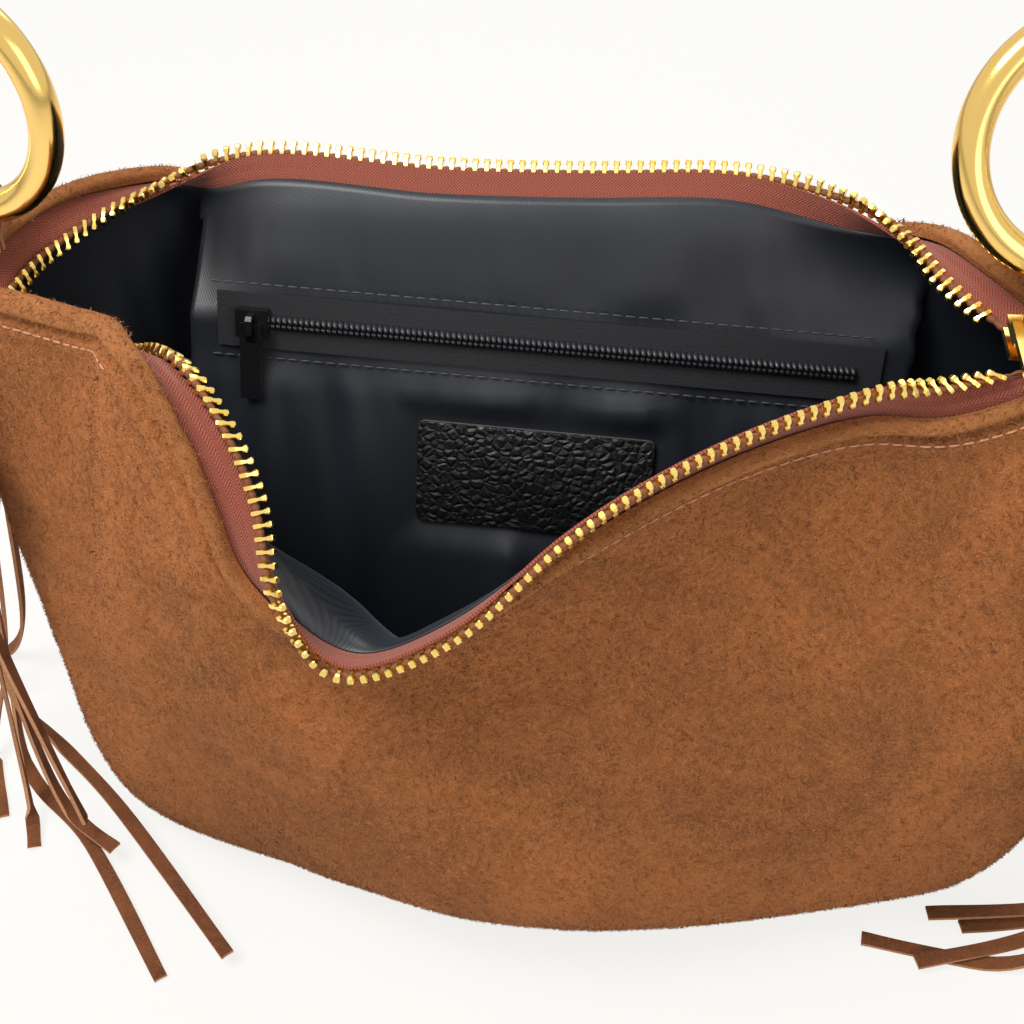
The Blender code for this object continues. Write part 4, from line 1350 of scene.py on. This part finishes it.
# Each strip's way down from its header to the ground and along it, in millimetres
LEFT_ROUTES = [
    [(-163, 50, 90), (-170, 62, 30), (-176, 72, 1.2), (-184, 92, 1.2)],
    [(-164, 44, 90), (-174, 48, 30), (-186, 52, 4.5), (-200, 56, 1.2)],
    [(-164, 36, 90), (-178, 38, 40), (-190, 28, 5), (-196, 4, 1.2)],
    [(-162, 28, 90), (-169, 24, 40), (-176, 10, 5), (-166, -14, 1.2)],
    [(-161, 20, 90), (-164, 14, 40), (-160, 0, 7), (-134, -22, 2.9), (-100, -64, 1.2)],
    [(-160, 13, 90), (-160, 6, 40), (-152, 8, 14), (-126, -12, 8), (-81, -57, 6)],
    [(-157, 5, 90), (-158, -3, 40), (-156, -12, 8), (-152, -24, 1.2)],
    [(-154, -2, 90), (-149, -9, 40), (-141, -16, 12), (-124, -26, 8)],
    [(-150, -8, 90), (-140, -17, 45), (-133, -22, 16)],
]
RIGHT_ROUTES = [
    [(176, -24, 80), (172, -30, 30), (148, -34, 2.9), (106, -29, 1.2)],
    [(178, -17, 80), (176, -22, 30), (156, -26, 6), (121, -37, 4)],
    [(179, -10, 80), (180, -14, 30), (166, -16, 9), (125, -22, 7)],
    [(180, -3, 80), (182, -6, 30), (172, -14, 3), (136, -22, 1.2)],
    [(182, 4, 80), (186, 4, 34), (190, -7, 5), (178, -42, 1.2)],
    [(182, 11, 80), (188, 10, 30), (198, 2, 1.2), (192, -30, 1.2)],
    [(182, 18, 80), (190, 20, 30), (208, 16, 1.2), (208, -18, 1.2)],
    [(182, 25, 80), (190, 32, 30), (204, 38, 1.2), (222, 42, 1.2)],
]

# The corners of a strip's cross section, as shares of half its width and half its thickness
STRIP_CORNERS = [(x, -1) for x in (-1, -0.5, 0, 0.5, 1)] + [(x, 1) for x in (1, 0.5, 0, -0.5, -1)]


@dataclass
class Fringe:
    """One side's fringe: a sewn header and the cut suede strips that hang from it."""

    side: str
    finishes: Finishes
    routes: list
    header: float = 3.0 * MM
    header_height: float = 13.0 * MM
    width: float = 4.2 * MM
    thick: float = 1.1 * MM
    first_drop: float = 28.0 * MM
    floor: float = 0.35 * MM
    steps: int = 54

    def frame_from_node(self) -> tuple[Vector, Vector, Vector, Vector, float]:
        """Read the header's middle and its three ways from its solid.

        Returns:
            The middle, the ways outwards, along and up, and the header's length.
        """
        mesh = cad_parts[f"fringe_header_{self.side}"].data
        corners = np.unique(np.round(np.array([tuple(v.co) for v in mesh.vertices]), 6), axis=0)
        middle = corners.mean(axis=0)
        edges = []
        for other in corners[1:]:
            edges.append(other - corners[0])
        edges.sort(key=np.linalg.norm)
        lengths = [float(np.linalg.norm(e)) for e in edges]
        wanted = [self.header, self.header_height]
        ways = []
        for size in wanted:
            pick = min(range(len(edges)), key=lambda i: abs(lengths[i] - size))
            ways.append(edges[pick] / lengths[pick])
        out = Vector(ways[0])
        up = Vector(ways[1])
        up = up if up.z > 0 else -up
        sign = -1.0 if self.side == "left" else 1.0
        out = out if out.x * sign > 0 else -out
        along = up.cross(out)
        long = max(abs(Vector(e).dot(along)) for e in edges)
        return Vector(middle), out, along, up, long

    def strip(self, number: int, route: list[Vector], root_way: Vector) -> None:
        """Make one strip, for its solid: a flat ribbon with square ends that turns and curls.

        Args:
            number: its number from the back.
            route: the points of its middle line.
            root_way: the way of its width at the header.
        """
        last = len(route) - 1
        rings = []
        for i in range(self.steps + 1):
            at = last * i / self.steps
            centre = blend(route, at)
            ahead = (blend(route, min(at + 0.03, last)) - blend(route, max(at - 0.03, 0.0))).normalized()
            flat = Vector((0, 0, 1)).cross(ahead)
            if flat.dot(root_way) < 0.0:
                flat = -flat
            steep = min(max((abs(ahead.z) - 0.3) / 0.5, 0.0), 1.0)
            wide = root_way * steep + flat * (1.0 - steep)
            wide = (wide - ahead * wide.dot(ahead)).normalized()
            share = i / self.steps
            wobble = 12.0 * math.sin(9.0 * share + number * 1.7) * math.sin(math.pi * share)
            wide = Matrix.Rotation(math.radians(wobble), 3, ahead) @ wide
            normal = ahead.cross(wide).normalized()
            edge = 1.0 + 0.05 * math.sin(31 * share + number)
            across = wide * self.width / 2 * edge
            rise = normal * self.thick / 2
            lowest = centre.z - abs(across.z) - abs(rise.z)
            centre.z += max(self.floor - lowest, 0.0)
            ring = []
            for a, b in STRIP_CORNERS:
                cup = (a * a - 0.4) * 0.25 * MM
                ring.append(centre + across * a + rise * b + normal * cup)
            rings.append(ring)
        points, faces = loft(rings)
        thing = make_solid(f"strip_{self.side}_{number:02d}", points, faces, self.finishes.strip, 45)
        ends = (0, len(faces) - 1)
        edges = [i for i in range(len(faces)) if i in ends or (i - 1) % len(STRIP_CORNERS) in (4, 9)]
        refinish(thing, self.finishes.cut, edges)
        settle(thing, Bodies.BAG, "suede", f"fringe_{self.side}_{number:02d}")

    def build(self) -> None:
        """Make the header and its strips."""
        middle, out, along, up, long = self.frame_from_node()
        rings = []
        for share, girth in ((-1, 0.7), (-0.985, 1), (-0.5, 1), (0, 1), (0.5, 1), (0.985, 1), (1, 0.7)):
            centre = middle + along * share * long / 2
            rings.append([centre + out * a * girth * self.header / 2 + up * b * self.header_height / 2
                          for a, b in octagon(0.7, 0.7)])
        thing = make_solid(f"header_{self.side}", *loft(rings), self.finishes.suede, 50)
        settle(thing, Bodies.BAG, "suede", f"fringe_header_{self.side}")
        for i, route in enumerate(self.routes):
            share = (i + 0.5) / len(self.routes) - 0.5
            root = middle + along * self.flip(along) * share * (long - self.width)
            root = root - up * (self.header_height / 2 + 0.5 * MM)
            points = [root, root - up * self.first_drop] + [Vector(p) * MM for p in route]
            self.strip(i + 1, points, along)

    def flip(self, along: Vector) -> float:
        """Give the sign that numbers the left strips from the back and the right ones from the front."""
        forward = along.y > 0
        return (-1.0 if forward else 1.0) if self.side == "left" else (1.0 if forward else -1.0)


@dataclass
class Studio:
    """The pale floor, the soft lamps and the camera at the photograph's angle."""

    azimuth: float = 6.0
    elevation: float = 44.0
    eye: tuple = (0.0261, -0.2743, 0.4068)
    focal_pixels: float = 1500.0
    picture_pixels: float = 1024.0
    sensor: float = 36.0
    backdrop: str = "FBFAF6"

    def camera(self) -> None:
        """Make the camera."""
        data = bpy.data.cameras.new("camera")
        data.sensor_width = self.sensor
        data.lens = self.focal_pixels / self.picture_pixels * self.sensor
        data.clip_start = 0.01
        thing = bpy.data.objects.new("camera", data)
        bpy.context.scene.collection.objects.link(thing)
        thing.location = self.eye
        thing.rotation_euler = (math.radians(90 - self.elevation), 0.0, math.radians(self.azimuth))
        bpy.context.scene.camera = thing

    def lamp(self, name: str, place: tuple, size: float, power: float) -> None:
        """Make one soft lamp that faces the bag.

        Args:
            name: its name.
            place: where it hangs, in metres.
            size: the side of its square.
            power: its power in watts.
        """
        data = bpy.data.lights.new(name, "AREA")
        data.size = size
        data.energy = power
        thing = bpy.data.objects.new(name, data)
        bpy.context.scene.collection.objects.link(thing)
        thing.location = place
        aim = Vector((0, 0, 0.08)) - Vector(place)
        thing.rotation_euler = aim.to_track_quat("-Z", "Y").to_euler()

    def floor(self) -> None:
        """Make the floor, which shows as the pale backdrop and keeps a soft shadow."""
        side = 4.0
        points = [(-side, -side, 0), (side, -side, 0), (side, side, 0), (-side, side, 0)]
        material, tree, shader = principled("pale floor", "E9E8E5", 0.9)
        glow = add_node(tree, "ShaderNodeEmission", {"Color": linear(self.backdrop), "Strength": 1.0}, {})
        path = add_node(tree, "ShaderNodeLightPath", {}, {})
        seen = maths(tree, "MULTIPLY", path.outputs["Is Camera Ray"], 0.86)
        mix = add_node(tree, "ShaderNodeMixShader", {}, {0: seen, 1: shader.outputs[0], 2: glow.outputs[0]})
        tree.links.new(mix.outputs[0], tree.nodes["Material Output"].inputs["Surface"])
        thing = make_object("floor", points, [(0, 1, 2, 3)], material)

    def world(self) -> None:
        """Make the plain light all round, white where the camera and the gloss see it."""
        world = bpy.data.worlds.new("studio")
        world.use_nodes = True
        bpy.context.scene.world = world
        tree = world.node_tree
        light = tree.nodes["Background"]
        light.inputs["Color"].default_value = linear("FFFFFF")
        light.inputs["Strength"].default_value = 0.5
        white = add_node(tree, "ShaderNodeBackground", {"Color": linear(self.backdrop), "Strength": 1.0}, {})
        path = add_node(tree, "ShaderNodeLightPath", {}, {})
        seen = maths(tree, "MAXIMUM", path.outputs["Is Camera Ray"], path.outputs["Is Glossy Ray"])
        mix = add_node(tree, "ShaderNodeMixShader", {}, {0: seen, 1: light.outputs[0], 2: white.outputs[0]})
        tree.links.new(mix.outputs[0], tree.nodes["World Output"].inputs["Surface"])

    def build(self) -> None:
        """Make the whole stage."""
        self.camera()
        self.floor()
        self.world()
        self.lamp("key", (-0.45, -0.25, 1.1), 0.5, 13.0)
        self.lamp("fill", (0.8, -0.9, 0.7), 0.8, 4.0)
        self.lamp("rear", (0.1, 0.9, 0.9), 0.6, 4.0)
        bpy.context.scene.view_settings.view_transform = "Standard"


def main() -> None:
    """Build every part of the bag in order and report it."""
    logging.basicConfig(level=logging.INFO, format="%(message)s")
    Studio().build()
    finishes = Finishes()
    form = WallForm()
    SuedeBody(form, finishes).build()
    MainZip(form, finishes).build()
    Interior(form, finishes).build()
    for side, body, bottom, turn, lean in (
        ("left", Bodies.RING_LEFT, Vector((-137.0, 22.0, 209.0)) * MM, -14.0, 4.0),
        ("right", Bodies.RING_RIGHT, Vector((121.4, 11.6, 215.7)) * MM, 4.0, 20.0),
    ):
        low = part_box(f"ring_tab_{side}")[0][2]
        RingFitting(side, body, finishes, bottom, turn, lean, bottom.z - low).build()
    Fringe("left", finishes, LEFT_ROUTES).build()
    Fringe("right", finishes, RIGHT_ROUTES).build()


if __name__ == "__main__":
    main()
